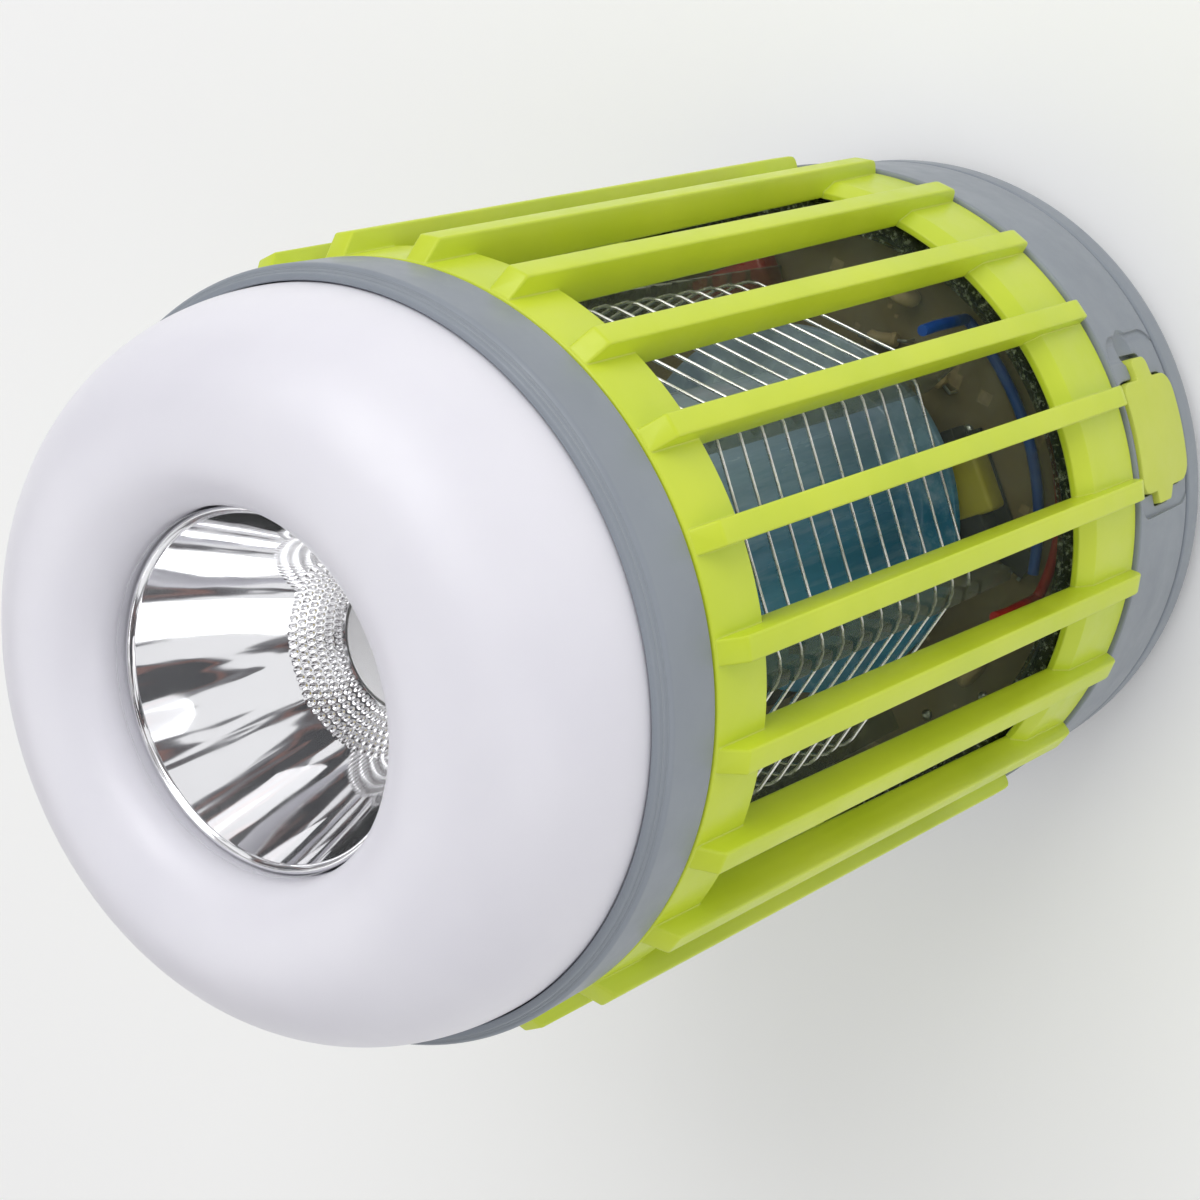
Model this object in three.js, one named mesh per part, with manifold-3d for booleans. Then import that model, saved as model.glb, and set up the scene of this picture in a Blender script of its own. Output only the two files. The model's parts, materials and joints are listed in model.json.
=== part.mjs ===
// Rechargeable camping bug zapper with a torch head: millimetres, +Z up, standing on its rubber feet.
import * as THREE from "three";
import { mergeVertices } from "three/addons/utils/BufferGeometryUtils.js";
import Module from "manifold-3d";

const wasm = await Module();
wasm.setup();

// ---- driving dimensions ----
const ROUND = 48; // facets of the large turned pieces
const SMALL = 14; // facets of screws, pins and feet
const GAP = 0.3; // room between pieces that touch

const BOTTOM = 0.8; // underside of the base cover, above the feet
const COVER_TOP = 6.9; // parting line of the base
const BASE_R = 41.9; // base radius at its shoulder
const SHOULDER = 23.8; // where the cage starts
const NECK_R = 37.4; // the neck the cage turns on
const NECK_TOP = 31.9;

const CAGE_FOOT = 24.1;
const CAGE_TOP = 110.7;
const CAGE_FOOT_R = 41.4;
const CAGE_TOP_R = 37.4;
const WALL = 2.2;
const FOOT_WALL = 1.7; // thinner, for the bayonet ramps inside
const SLOT_FOOT = 37.2;
const LEDGE_FOOT = 34.6; // start of the bevel below each slot
const SLOT_TOP = 102.85;

const RIBS = 24;
const RIB_WIDTH = 2.4;
const RIB_FOOT_R = 43.05;
const RIB_TOP_R = 39.6;

const TWIST_TABS = [60, 180, 300]; // azimuths of the bayonet tabs
const TWIST_RISE = 0.05; // lift per degree of twist

const FLOOR_Z = 32.6; // top face of the clear chamber floor
const TUBE_R = 17.5;
const GRID_R = 29.2; // circle through the corners of the seven-sided grid
const GRID_PITCH = 8.6; // of each wire; the two wires share the height evenly
const GRID_TURNS = 6;
const GRID_START = 41.6;
const WIRE_R = 0.4;
const POSTS = 7;
const POST_STEP = 360 / POSTS;
const FIRST_POST = -121; // azimuth
const LEAD_R = 32.2; // circle the high-voltage leads rise on

const HEAD_PLATE = 113.1; // top of the plate inside the head ring
const DOME_SEAT = 118;
const DOME_TOP = 134;
const DOME_R = 35.7;
const DOME_FULLNESS = 2.12; // 2 is a plain ellipse
const CREST_R = 23.6;
const BORE_R = 17.3;
const LIP_Z = 129.8;
const HOLE_R = 7; // lower opening of the reflector
const REFLECTOR_FOOT = 108.6;
const REFLECTOR_TOP = 128.3;
const REFLECTOR_R = 16.4;

const USB_AZIMUTH = -97.6;
const USB_Z = 15.4;
const BUTTON_Z = 15.4;
const BUTTON_R = 4.6;
const BATTERY_Z = 13.9;
const BATTERY_R = 9;
const BAIL_R = 31;
const BAIL_WIRE = 0.95;
const BAIL_Z = 1.95;

const BASE_SCREWS = [27, 153, 207, 333];
const FEET = [52, 128, 232, 308];
const HEAD_SCREWS = [30, 150, 270];
const BASE_SCREW_R = 36; // circles the fasteners and feet sit on
const FOOT_R = 36;
const HEAD_SCREW_R = 32.6;

const rad = THREE.MathUtils.degToRad;

// ---- materials ----
function plain(color, roughness = 0.5, metalness = 0, opacity = 1) {
  return new THREE.MeshStandardMaterial({
    color,
    roughness,
    metalness,
    opacity,
    transparent: opacity < 1,
  });
}
const LIME = () => plain(0xb9d232, 0.4);
const GREY = () => plain(0x8f959c, 0.5);
const FROSTED = () => plain(0xe6e5ec, 0.6);
const CLEAR = () => plain(0xcfdfe6, 0.08, 0, 0.35);
const CHROME = () => plain(0xf2f2f2, 0.06, 1);
const STEEL = () => plain(0xc3c3c0, 0.25, 1);
const BRASS = () => plain(0xc9a24a, 0.3, 1);
const RUBBER = () => plain(0x2b2b2d, 0.85);
const WHITE = () => plain(0xf3f3f0, 0.5);
const BLUE_BOARD = () => plain(0x2a5f8a, 0.5);
const BROWN_BOARD = () => plain(0x6d5632, 0.5);
const BLACK = () => plain(0x1c1c1e, 0.5);

// ---- joining and cutting ----
function solid(geometry) {
  const bare = new THREE.BufferGeometry();
  bare.setAttribute("position", geometry.getAttribute("position").clone());
  if (geometry.index) bare.setIndex(geometry.index.clone());
  const merged = mergeVertices(bare, 1e-4);
  return new wasm.Manifold(
    new wasm.Mesh({
      numProp: 3,
      vertProperties: merged.attributes.position.array,
      triVerts: new Uint32Array(merged.index.array),
    }),
  );
}

function geometryOf(made) {
  const mesh = made.getMesh();
  const points = new Float32Array(mesh.numVert * 3);
  for (let i = 0; i < mesh.numVert; i++) {
    const start = i * mesh.numProp;
    points.set(mesh.vertProperties.subarray(start, start + 3), i * 3);
  }
  return new THREE.BufferGeometry()
    .setAttribute("position", new THREE.BufferAttribute(points, 3))
    .setIndex(new THREE.BufferAttribute(new Uint32Array(mesh.triVerts), 1));
}

function join(pieces) {
  return geometryOf(pieces.map(solid).reduce((a, b) => a.add(b)));
}

function cut(body, tools) {
  return geometryOf(tools.map(solid).reduce((a, b) => a.subtract(b), solid(body)));
}

function common(a, b) {
  return geometryOf(solid(a).intersect(solid(b)));
}

// ---- basic shapes ----
// A profile of [radius, height] pairs that starts and ends on the axis.
function turned(profile, facets = ROUND) {
  const points = profile.map(([r, z]) => new THREE.Vector2(r, z));
  return new THREE.LatheGeometry(points, facets).rotateX(Math.PI / 2);
}

// A closed profile clear of the axis.
function ring(profile, facets = ROUND) {
  return turned([...profile, profile[0]], facets);
}

function washer(inner, outer, z0, z1, facets = ROUND) {
  return ring([[outer, z0], [outer, z1], [inner, z1], [inner, z0]], facets);
}

function disc(r, z0, z1, facets = ROUND) {
  return turned([[0, z0], [r, z0], [r, z1], [0, z1]], facets);
}

function box([x0, x1], [y0, y1], [z0, z1]) {
  return new THREE.BoxGeometry(x1 - x0, y1 - y0, z1 - z0).translate(
    (x0 + x1) / 2,
    (y0 + y1) / 2,
    (z0 + z1) / 2,
  );
}

function sector(inner, outer, from, to, z0, z1) {
  const outline = new THREE.Shape();
  outline.absarc(0, 0, outer, rad(from), rad(to), false);
  outline.absarc(0, 0, inner, rad(to), rad(from), true);
  outline.closePath();
  const options = { depth: z1 - z0, bevelEnabled: false, curveSegments: 6 };
  return new THREE.ExtrudeGeometry(outline, options).translate(0, 0, z0);
}

// A round bar along a path.
function swept(path, r, steps, sides = 8) {
  const outline = new THREE.Shape();
  for (let i = 0; i < sides; i++) {
    const a = (i / sides) * 2 * Math.PI;
    if (i) outline.lineTo(r * Math.cos(a), r * Math.sin(a));
    else outline.moveTo(r, 0);
  }
  outline.closePath();
  const options = { steps, bevelEnabled: false, extrudePath: path };
  return new THREE.ExtrudeGeometry(outline, options);
}

function swung(geometry, azimuth) {
  return geometry.rotateZ(rad(azimuth));
}

// Moves a shape made on the axis out to a radius.
function outTo(geometry, azimuth, r) {
  return geometry.translate(r * Math.cos(rad(azimuth)), r * Math.sin(rad(azimuth)), 0);
}

function ellipse(centre, a, b, from, to, steps) {
  const [r, z] = centre;
  const points = [];
  for (let i = 0; i <= steps; i++) {
    const t = rad(from + ((to - from) * i) / steps);
    points.push([r + a * Math.cos(t), z + b * Math.sin(t)]);
  }
  return points;
}

// ---- the group ----
const part = new THREE.Group();

function piece(name, geometry, material) {
  const mesh = new THREE.Mesh(geometry, material);
  mesh.name = name;
  part.add(mesh);
}

// ---- head ----
// The outer curve of the dome, from its seat up to its crest.
function shoulder(steps) {
  const points = [];
  for (let i = 0; i <= steps; i++) {
    const t = (i / steps) * (Math.PI / 2);
    const across = Math.max(Math.cos(t), 0) ** (2 / DOME_FULLNESS);
    const along = Math.sin(t) ** (2 / DOME_FULLNESS);
    points.push([CREST_R + (DOME_R - CREST_R) * across, DOME_SEAT + (DOME_TOP - DOME_SEAT) * along]);
  }
  points[steps] = [CREST_R, DOME_TOP];
  return points;
}

function diffuserDome() {
  return ring([
    [DOME_R, 114.2],
    ...shoulder(7),
    ...ellipse([CREST_R, LIP_Z], CREST_R - BORE_R, DOME_TOP - LIP_Z, 90, 180, 4).slice(1),
    [BORE_R, HEAD_PLATE + GAP],
    [BORE_R + 2, HEAD_PLATE + GAP],
    ...ellipse([CREST_R, LIP_Z - 0.6], CREST_R - BORE_R - 2, 2.6, 180, 90, 2),
    ...ellipse([CREST_R, DOME_SEAT], DOME_R - CREST_R - 2, 13.8, 90, 0, 4).slice(1),
    [DOME_R - 2, 114.2],
  ]);
}

// The reflector is a parabola through its hole and its rim.
function reflectorRadius(z) {
  const rise = (z - REFLECTOR_FOOT) / (REFLECTOR_TOP - REFLECTOR_FOOT);
  return Math.sqrt(HOLE_R ** 2 + (REFLECTOR_R ** 2 - HOLE_R ** 2) * rise);
}

function torchReflector() {
  const heights = [REFLECTOR_FOOT, 110.2, 113, 117, 122, REFLECTOR_TOP];
  const bowl = heights.map((z) => [reflectorRadius(z), z]);
  const back = heights.map((z) => [Math.min(reflectorRadius(z) + 1, 17), z - 0.3]);
  back[back.length - 1] = [BORE_R - GAP, REFLECTOR_TOP];
  return ring([...back, ...bowl.reverse()], 40);
}

function headRing() {
  const body = ring([
    [37.4, 111],
    [37.35, 117.8],
    [36.9, 118.5],
    [DOME_R + GAP, 118.9],
    [DOME_R + GAP, HEAD_PLATE],
    [13, HEAD_PLATE],
    [13, 111.3],
    [33.2, 111.3],
    [33.2, 107.3],
    [34.9, 107.3],
    [34.9, 111],
  ]);
  const bosses = HEAD_SCREWS.map((a) => outTo(disc(2.3, 107.3, 112, SMALL), a, HEAD_SCREW_R));
  const bores = HEAD_SCREWS.map((a) => outTo(disc(1.4, 107, 111.9, SMALL), a, HEAD_SCREW_R));
  return cut(join([body, ...bosses]), bores);
}

function headDeck() {
  const plate = turned([[0, 103.2], [35, 103.2], [35, 105], [11, 105], [11, 105.7], [0, 105.7]]);
  return cut(
    plate,
    HEAD_SCREWS.map((a) => outTo(disc(1.5, 103, 105.2, SMALL), a, HEAD_SCREW_R)),
  );
}

// A self-tapping screw that points up.
function screw(headZ, neckZ, tipZ) {
  const head = [[0, headZ], [2, headZ], [2.6, headZ + 0.4], [2.6, neckZ]];
  const shank = [[1.1, neckZ], [1.1, tipZ - 0.6], [0, tipZ]];
  return turned([...head, ...shank], 12);
}

function torchLed() {
  return turned([[0, 107.9], [2.5, 107.9], [2.5, 108.6], [1.6, 109.2], [0, 109.7]], 16);
}

piece("diffuser_dome", diffuserDome(), FROSTED());
piece("torch_lens", disc(BORE_R - GAP, REFLECTOR_TOP + GAP, REFLECTOR_TOP + 1.3), CLEAR());
piece("torch_reflector", torchReflector(), CHROME());
piece("led_gasket", washer(3.2, 6.6, 107.9, 109, 24), WHITE());
piece("torch_led", torchLed(), WHITE());
piece("torch_led_board", disc(10, 106, 107.6, 32), WHITE());
piece("lantern_led_board", washer(19.6, 33, HEAD_PLATE + GAP, HEAD_PLATE + 1.9), WHITE());
for (let i = 0; i < 5; i++) {
  const chip = box([25, 28.5], [-1.4, 1.4], [HEAD_PLATE + 2.2, HEAD_PLATE + 3.4]);
  piece(`lantern_led_${i + 1}`, swung(chip, 72 * i), plain(0xf2e27a, 0.4));
}
piece("head_ring", headRing(), GREY());
piece("head_seal", washer(33.8, 35.4, HEAD_PLATE + GAP, HEAD_PLATE + 0.8, 32), RUBBER());
piece("head_deck", headDeck(), GREY());
HEAD_SCREWS.forEach((a, i) => {
  piece(`head_screw_${i + 1}`, outTo(screw(101.6, 102.9, 111.4), a, HEAD_SCREW_R), STEEL());
});

// ---- cage ----
function cageRadius(z) {
  return THREE.MathUtils.mapLinear(z, CAGE_FOOT, CAGE_TOP, CAGE_FOOT_R, CAGE_TOP_R);
}

function frontRing() {
  return ring([
    [cageRadius(SLOT_TOP), SLOT_TOP],
    [CAGE_TOP_R, CAGE_TOP],
    [CAGE_TOP_R - WALL, CAGE_TOP],
    [cageRadius(107) - WALL, 107],
    [29.8, 107],
    [29.8, 105.3],
    [cageRadius(105.3) - WALL, 105.3],
    [cageRadius(SLOT_TOP) - WALL, SLOT_TOP],
  ]);
}

function rearRing() {
  return ring([
    [CAGE_FOOT_R, CAGE_FOOT],
    [cageRadius(LEDGE_FOOT), LEDGE_FOOT],
    [cageRadius(SLOT_FOOT) - 1, SLOT_FOOT],
    [cageRadius(SLOT_FOOT) - FOOT_WALL, SLOT_FOOT],
    [CAGE_FOOT_R - FOOT_WALL, CAGE_FOOT],
  ]);
}

function rib() {
  const outline = new THREE.Shape();
  outline.moveTo(cageRadius(CAGE_TOP) - WALL + 0.1, CAGE_TOP - 0.3);
  outline.lineTo(cageRadius(25) - FOOT_WALL + 0.1, 24.6);
  outline.lineTo(41.6, 24.5);
  outline.lineTo(42.7, 24.9);
  outline.lineTo(RIB_FOOT_R, 26.2);
  outline.lineTo(RIB_TOP_R, 108.5);
  outline.lineTo(CAGE_TOP_R, CAGE_TOP - 0.3);
  outline.closePath();
  return new THREE.ExtrudeGeometry(outline, { depth: RIB_WIDTH, bevelEnabled: false })
    .translate(0, 0, -RIB_WIDTH / 2)
    .rotateX(Math.PI / 2);
}

function cage() {
  const pieces = [frontRing(), rearRing()];
  for (let i = 0; i < RIBS; i++) pieces.push(swung(rib(), (360 / RIBS) * i));
  for (const a of TWIST_TABS) pieces.push(sector(37.8, 39.9, a - 6, a + 6, 25.9, 27.5));
  const bores = HEAD_SCREWS.map((a) => outTo(disc(1.5, 105, 107.3, SMALL), a, HEAD_SCREW_R));
  return cut(join(pieces), bores);
}

piece("cage", cage(), LIME());
piece("cage_seal", washer(37.7, 39.3, SHOULDER + GAP, 25.4), RUBBER());

// ---- zapping chamber ----
function floorWindow() {
  const plate = ring([
    [35.1, FLOOR_Z - 1.4],
    [35.1, NECK_TOP + GAP],
    [38.2, NECK_TOP + GAP],
    [38.2, 34.2],
    [36.6, 34.2],
    [36.2, FLOOR_Z],
    [6, FLOOR_Z],
    [6, FLOOR_Z - 1.4],
  ]);
  const holes = LEADS.map(({ azimuth }) => outTo(disc(1.5, 31, 33, 12), azimuth, LEAD_R));
  return cut(plate, holes);
}

function uvTube() {
  return ring([
    [23.2, FLOOR_Z + GAP],
    [23.2, 34.2],
    [18.6, 34.9],
    [TUBE_R, 36.4],
    [TUBE_R, 98.3],
    [TUBE_R - 1.6, 98.3],
    [TUBE_R - 1.6, FLOOR_Z + GAP],
  ], 40);
}

function gridTopPlate() {
  return turned([[0, 95.5], [15.5, 95.5], [15.5, 98.6], [31, 98.6], [31, 100], [0, 100]]);
}

function uvBoard() {
  const sleeve = new THREE.CylinderGeometry(10.5, 10.5, 56, 6);
  const hollow = new THREE.CylinderGeometry(9.3, 9.3, 60, 6);
  return cut(sleeve, [hollow]).rotateX(Math.PI / 2).rotateZ(rad(30)).translate(0, 0, 65);
}

// One wire of the grid: a coil with one side from each post to the next, and clipped corners.
class GridPath extends THREE.Curve {
  constructor(startZ, startCorner) {
    super();
    this.startZ = startZ;
    this.startCorner = startCorner;
    this.steps = GRID_TURNS * POSTS * 2;
  }

  corner(i) {
    const a = rad(FIRST_POST + (i + this.startCorner) * POST_STEP);
    return new THREE.Vector3(GRID_R * Math.cos(a), GRID_R * Math.sin(a), 0);
  }

  // Even stations leave a corner and odd stations reach the next one.
  station(n) {
    const side = Math.floor(n / 2);
    const share = n % 2 ? 0.95 : 0.05;
    const point = this.corner(side).lerp(this.corner(side + 1), share);
    point.z = this.startZ + (GRID_PITCH / POSTS) * (side + share);
    return point;
  }

  getPoint(t) {
    const n = Math.min(Math.round(t * this.steps * 1000) / 1000, this.steps);
    const low = Math.floor(n);
    if (low === n) return this.station(low);
    return this.station(low).lerp(this.station(low + 1), n - low);
  }

  getPointAt(t) {
    return this.getPoint(t);
  }

  getTangentAt(t) {
    const reach = 0.5 / this.steps;
    const ahead = this.getPoint(Math.min(t + reach, 1));
    return ahead.sub(this.getPoint(Math.max(t - reach, 0))).normalize();
  }
}

function gridWire(startZ, startCorner) {
  const path = new GridPath(startZ, startCorner);
  return swept(path, WIRE_R, path.steps, 5);
}

// A comb of notches holds every turn of both wires where it passes the post.
function gridPost(index) {
  const blade = box([24.4, 30.2], [-0.8, 0.8], [FLOOR_Z + GAP, 98.3]);
  const notches = [];
  WIRES.forEach(({ z, corner }) => {
    const offset = (index - corner + POSTS) % POSTS;
    for (let k = offset; k <= GRID_TURNS * POSTS; k += POSTS) {
      const height = z + (GRID_PITCH / POSTS) * k;
      notches.push(box([27.6, 31], [-1, 1], [height - 0.75, height + 0.75]));
    }
  });
  return swung(cut(blade, notches), FIRST_POST + index * POST_STEP);
}

// A lead runs over the board, up through the floor and along a post to its wire.
function lead({ azimuth, sweep, run, z }) {
  const points = [];
  for (let i = 0; i <= 5; i++) {
    const a = rad(azimuth - sweep + (sweep * i) / 5);
    const r = run + (LEAD_R - run) * (i / 5) ** 3;
    points.push(new THREE.Vector3(r * Math.cos(a), r * Math.sin(a), 27.2 + (i > 3 ? 0.8 : 0)));
  }
  const last = points[5];
  points.push(new THREE.Vector3(last.x, last.y, 31));
  points.push(new THREE.Vector3(last.x, last.y, 36));
  points.push(new THREE.Vector3(last.x * 0.99, last.y * 0.99, z - 2.2));
  return swept(new THREE.CatmullRomCurve3(points), 0.7, 18, 6);
}

const WIRES = [
  { z: GRID_START, corner: 0 },
  { z: GRID_START - (GRID_PITCH * 5) / 14, corner: 1 },
];
const LEADS = [
  { name: "hv_lead_red", azimuth: -127.5, sweep: -40, run: 33.6, z: GRID_START, color: 0xc22a22 },
  { name: "hv_lead_blue", azimuth: -63.1, sweep: 60, run: 30.6, z: GRID_START, color: 0x2458a8 },
];

piece("floor_window", floorWindow(), CLEAR());
piece("uv_tube", uvTube(), CLEAR());
piece("uv_board", uvBoard(), BLUE_BOARD());
for (let i = 0; i < 3; i++) {
  const chip = box([-2.5, 2.5], [-10.9, -9.5], [47 + 16 * i, 52 + 16 * i]);
  piece(`uv_led_${i + 1}`, chip, plain(0x8a7bd8, 0.3));
}
WIRES.forEach(({ z, corner }, i) => {
  piece(i ? "grid_wire_negative" : "grid_wire_positive", gridWire(z, corner), STEEL());
});
for (let i = 0; i < POSTS; i++) piece(`grid_post_${i + 1}`, gridPost(i), CLEAR());
piece("grid_top_plate", gridTopPlate(), CLEAR());
[-6, 6].forEach((x, i) => {
  piece(`contact_pin_${i + 1}`, disc(1.1, 100.3, 102.6, 12).translate(x, 0, 0), BRASS());
});
LEADS.forEach((wire) => piece(wire.name, lead(wire), plain(wire.color, 0.5)));

// ---- base ----
// The ramp a bayonet tab slides under as the cage unscrews.
class RampPath extends THREE.Curve {
  constructor(azimuth) {
    super();
    this.azimuth = azimuth;
  }

  getPoint(t) {
    const turn = -7 + 38 * t;
    const a = rad(this.azimuth + turn);
    const z = 28.5 + TWIST_RISE * (turn + 6);
    return new THREE.Vector3(38.1 * Math.cos(a), 38.1 * Math.sin(a), z);
  }
}

function ramp(azimuth) {
  const outline = new THREE.Shape();
  outline.moveTo(-0.7, -0.9);
  outline.lineTo(0.7, -0.9);
  outline.lineTo(0.7, 0.9);
  outline.lineTo(-0.7, 0.9);
  outline.closePath();
  const options = { steps: 8, bevelEnabled: false, extrudePath: new RampPath(azimuth) };
  return new THREE.ExtrudeGeometry(outline, options);
}

// Outline of the charging-port cover, seen from outside; grow widens it into its pocket.
function usbOutline(grow) {
  const w = 6.7 + grow;
  const h = 7.2 + grow;
  const c = 2.4;
  const tab = 2.2 + grow;
  const tip = 9.3 + 2 * grow; // the tether end needs room to swing
  const pull = 8.3 + grow;
  const outline = new THREE.Shape();
  outline.moveTo(-w, -h + c);
  outline.lineTo(-w + c * 0.3, -h + c * 0.3);
  outline.lineTo(-w + c, -h);
  outline.lineTo(w - c, -h);
  outline.lineTo(w - c * 0.3, -h + c * 0.3);
  outline.lineTo(w, -h + c);
  outline.lineTo(w, -tab);
  outline.lineTo(tip - 1, -tab);
  outline.lineTo(tip, -tab + 1);
  outline.lineTo(tip, tab - 1);
  outline.lineTo(tip - 1, tab);
  outline.lineTo(w, tab);
  outline.lineTo(w, h - c);
  outline.lineTo(w - c * 0.3, h - c * 0.3);
  outline.lineTo(w - c, h);
  outline.lineTo(-w + c, h);
  outline.lineTo(-w + c * 0.3, h - c * 0.3);
  outline.lineTo(-w, h - c);
  outline.lineTo(-w, 3 + grow);
  outline.lineTo(-pull, 2.4 + grow);
  outline.lineTo(-pull, -1.4 - grow);
  outline.lineTo(-w, -2 - grow);
  outline.closePath();
  return outline;
}

// The outline as a block that faces the port, cut to a band of radii.
function usbBlock(grow, inner, outer) {
  const options = { depth: 8, bevelEnabled: false };
  const block = new THREE.ExtrudeGeometry(usbOutline(grow), options);
  block.rotateX(Math.PI / 2).translate(0, -36, USB_Z);
  return common(block, washer(inner, outer, 5, 25));
}

const facingUsb = (geometry) => swung(geometry, USB_AZIMUTH + 90);

function usbCover() {
  const plug = box([-3.9, 3.9], [-40.7, -39.2], [USB_Z - 1.3, USB_Z + 1.3]);
  return facingUsb(join([usbBlock(0, 40.4, 41.95), plug]));
}

function usbSocket() {
  const shell = box([-4.5, 4.5], [-39, -31.8], [USB_Z - 1.7, USB_Z + 1.7]);
  const mouth = box([-4.1, 4.1], [-39.5, -33.2], [USB_Z - 1.2, USB_Z + 1.2]);
  const tongue = box([-3, 3], [-37.6, -33], [USB_Z - 0.35, USB_Z + 0.35]);
  return facingUsb(join([cut(shell, [mouth]), tongue]));
}

// Cylinder that points along +Y.
function backward(r, y0, y1, z, facets = 28) {
  return disc(r, y0, y1, facets).rotateX(-Math.PI / 2).translate(0, 0, z);
}

function baseHousing() {
  const body = ring([
    [40.9, 7.2],
    [41.45, 7.7],
    [BASE_R, 23.5],
    [41.6, SHOULDER],
    [NECK_R, SHOULDER],
    [NECK_R, NECK_TOP],
    [35.4, NECK_TOP],
    [35.4, SHOULDER],
    [33, SHOULDER],
    [33, 22],
    [39.3, 22],
    [39.3, 7.2],
  ]);
  const bosses = BASE_SCREWS.map((a) => outTo(disc(3.4, 7.5, 22.3, SMALL), a, BASE_SCREW_R));
  const bores = BASE_SCREWS.map((a) => outTo(disc(1.4, 7, 18, 12), a, BASE_SCREW_R));
  const shelves = [
    facingUsb(box([-6, 6], [-39.8, -31.5], [11.2, 13.4])),
    box([-6.5, 6.5], [27.6, 39.5], [7.6, 9.3]),
  ];
  const port = facingUsb(box([-4.5, 4.5], [-41, -38.5], [USB_Z - 1.9, USB_Z + 1.9]));
  return cut(join([body, ...bosses, ...shelves, ...TWIST_TABS.map(ramp)]), [
    ...bores,
    facingUsb(usbBlock(0.35, 40.1, 43)),
    port,
    backward(BUTTON_R + 0.4, 36, 44, BUTTON_Z),
  ]);
}

// The folded hanging bail lies in a half-round groove under the base.
function baseCover() {
  const body = turned([
    [0, BOTTOM],
    [38.6, BOTTOM],
    [40.1, 1.3],
    [41.1, 2.4],
    [41.5, 4],
    [41.5, COVER_TOP - 0.4],
    [41.1, COVER_TOP],
    [38.9, COVER_TOP],
    [38.9, 4.3],
    [0, 4.3],
  ]);
  const groove = sector(BAIL_R - 1.6, BAIL_R + 1.6, -3, 183, 0, 3.15);
  const sockets = [box([-33.6, -30], [-1.3, 1.3], [0, 3.15]), box([30, 33.6], [-1.3, 1.3], [0, 3.15])];
  const notch = box([-8, 8], [24.5, 33.5], [0, 3.15]);
  const feet = FEET.map((a) => outTo(disc(2.9, 0, 1.9, SMALL), a, FOOT_R));
  const heads = BASE_SCREWS.map((a) => outTo(disc(2.9, 0, 2.7, SMALL), a, BASE_SCREW_R));
  const bores = BASE_SCREWS.map((a) => outTo(disc(1.4, 0, 8, 12), a, BASE_SCREW_R));
  return cut(body, [groove, ...sockets, notch, ...feet, ...heads, ...bores]);
}

class BailPath extends THREE.Curve {
  getPoint(t) {
    const a = Math.PI * t;
    return new THREE.Vector3(BAIL_R * Math.cos(a), BAIL_R * Math.sin(a), BAIL_Z);
  }
}

function hookBail() {
  const hoop = swept(new BailPath(), BAIL_WIRE, 20, 8);
  const lugs = [-1, 1].map((side) => {
    const ends = [side * (BAIL_R - 0.6), side * (BAIL_R + 2.2)].sort((a, b) => a - b);
    return box(ends, [-0.7, 0.7], [BAIL_Z - 0.7, BAIL_Z + 0.7]);
  });
  return join([hoop, ...lugs]);
}

function batteryCell() {
  const can = [[0, -32.5], [8.6, -32.5], [BATTERY_R, -32.1], [BATTERY_R, 31], [8.4, 31.6]];
  const button = [[3, 31.6], [3, 32.5], [0, 32.5]];
  return turned([...can, ...button], 28).rotateY(Math.PI / 2).translate(0, 0, BATTERY_Z);
}

function batteryHolder() {
  const cradle = box([-33.9, 33.9], [-10.4, 10.4], [4.6, 10]);
  const bed = new THREE.CylinderGeometry(BATTERY_R + GAP, BATTERY_R + GAP, 65.7, 28);
  return cut(cradle, [bed.rotateZ(Math.PI / 2).translate(0, 0, BATTERY_Z)]);
}

function powerButton() {
  const cap = backward(BUTTON_R, 37.4, 42.3, BUTTON_Z);
  const flange = backward(5.6, 37, 38.4, BUTTON_Z);
  return join([cap, flange]);
}

function tactileSwitch() {
  return join([
    box([-6, 6], [28, 29.4], [9.6, 21]),
    box([-3.1, 3.1], [29.3, 33.2], [BUTTON_Z - 3.1, BUTTON_Z + 3.1]),
    backward(1.6, 33, 35.6, BUTTON_Z, 16),
  ]);
}

function transformer() {
  return join([
    box([-6.5, 6.5], [-5, 5], [26, 30.6]),
    box([-7.6, 7.6], [-2.6, 2.6], [26.6, 30]),
  ]);
}

piece("base_housing", baseHousing(), GREY());
piece("base_cover", baseCover(), GREY());
BASE_SCREWS.forEach((a, i) => {
  piece(`base_screw_${i + 1}`, outTo(screw(1.1, 2.4, 17), a, BASE_SCREW_R), STEEL());
});
FEET.forEach((a, i) => {
  const pad = turned([[0, 0], [2.2, 0], [2.6, 0.4], [2.6, 1.6], [0, 1.6]], SMALL);
  piece(`foot_${i + 1}`, outTo(pad, a, FOOT_R), RUBBER());
});
piece("hook_bail", hookBail(), STEEL());
piece("battery_cell", batteryCell(), plain(0x3b6fa8, 0.4));
piece("battery_holder", batteryHolder(), BLACK());
piece("main_board", disc(35, SHOULDER + GAP, 25.7), BROWN_BOARD());
piece("hv_transformer", outTo(transformer(), -102.3, 21.1), plain(0xd8c23a, 0.5));
piece("hv_capacitor", outTo(box([-3, 3], [-6, 6], [26, 30.4]), 0, 28.4), plain(0x9c2f22, 0.4));
piece("usb_socket", usbSocket(), STEEL());
piece("usb_cover", usbCover(), LIME());
piece("power_button", powerButton(), LIME());
piece("tactile_switch", tactileSwitch(), BLACK());

export default part;
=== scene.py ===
import json
import math
import random

import bmesh
import bpy
from mathutils import Matrix, Vector


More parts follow.
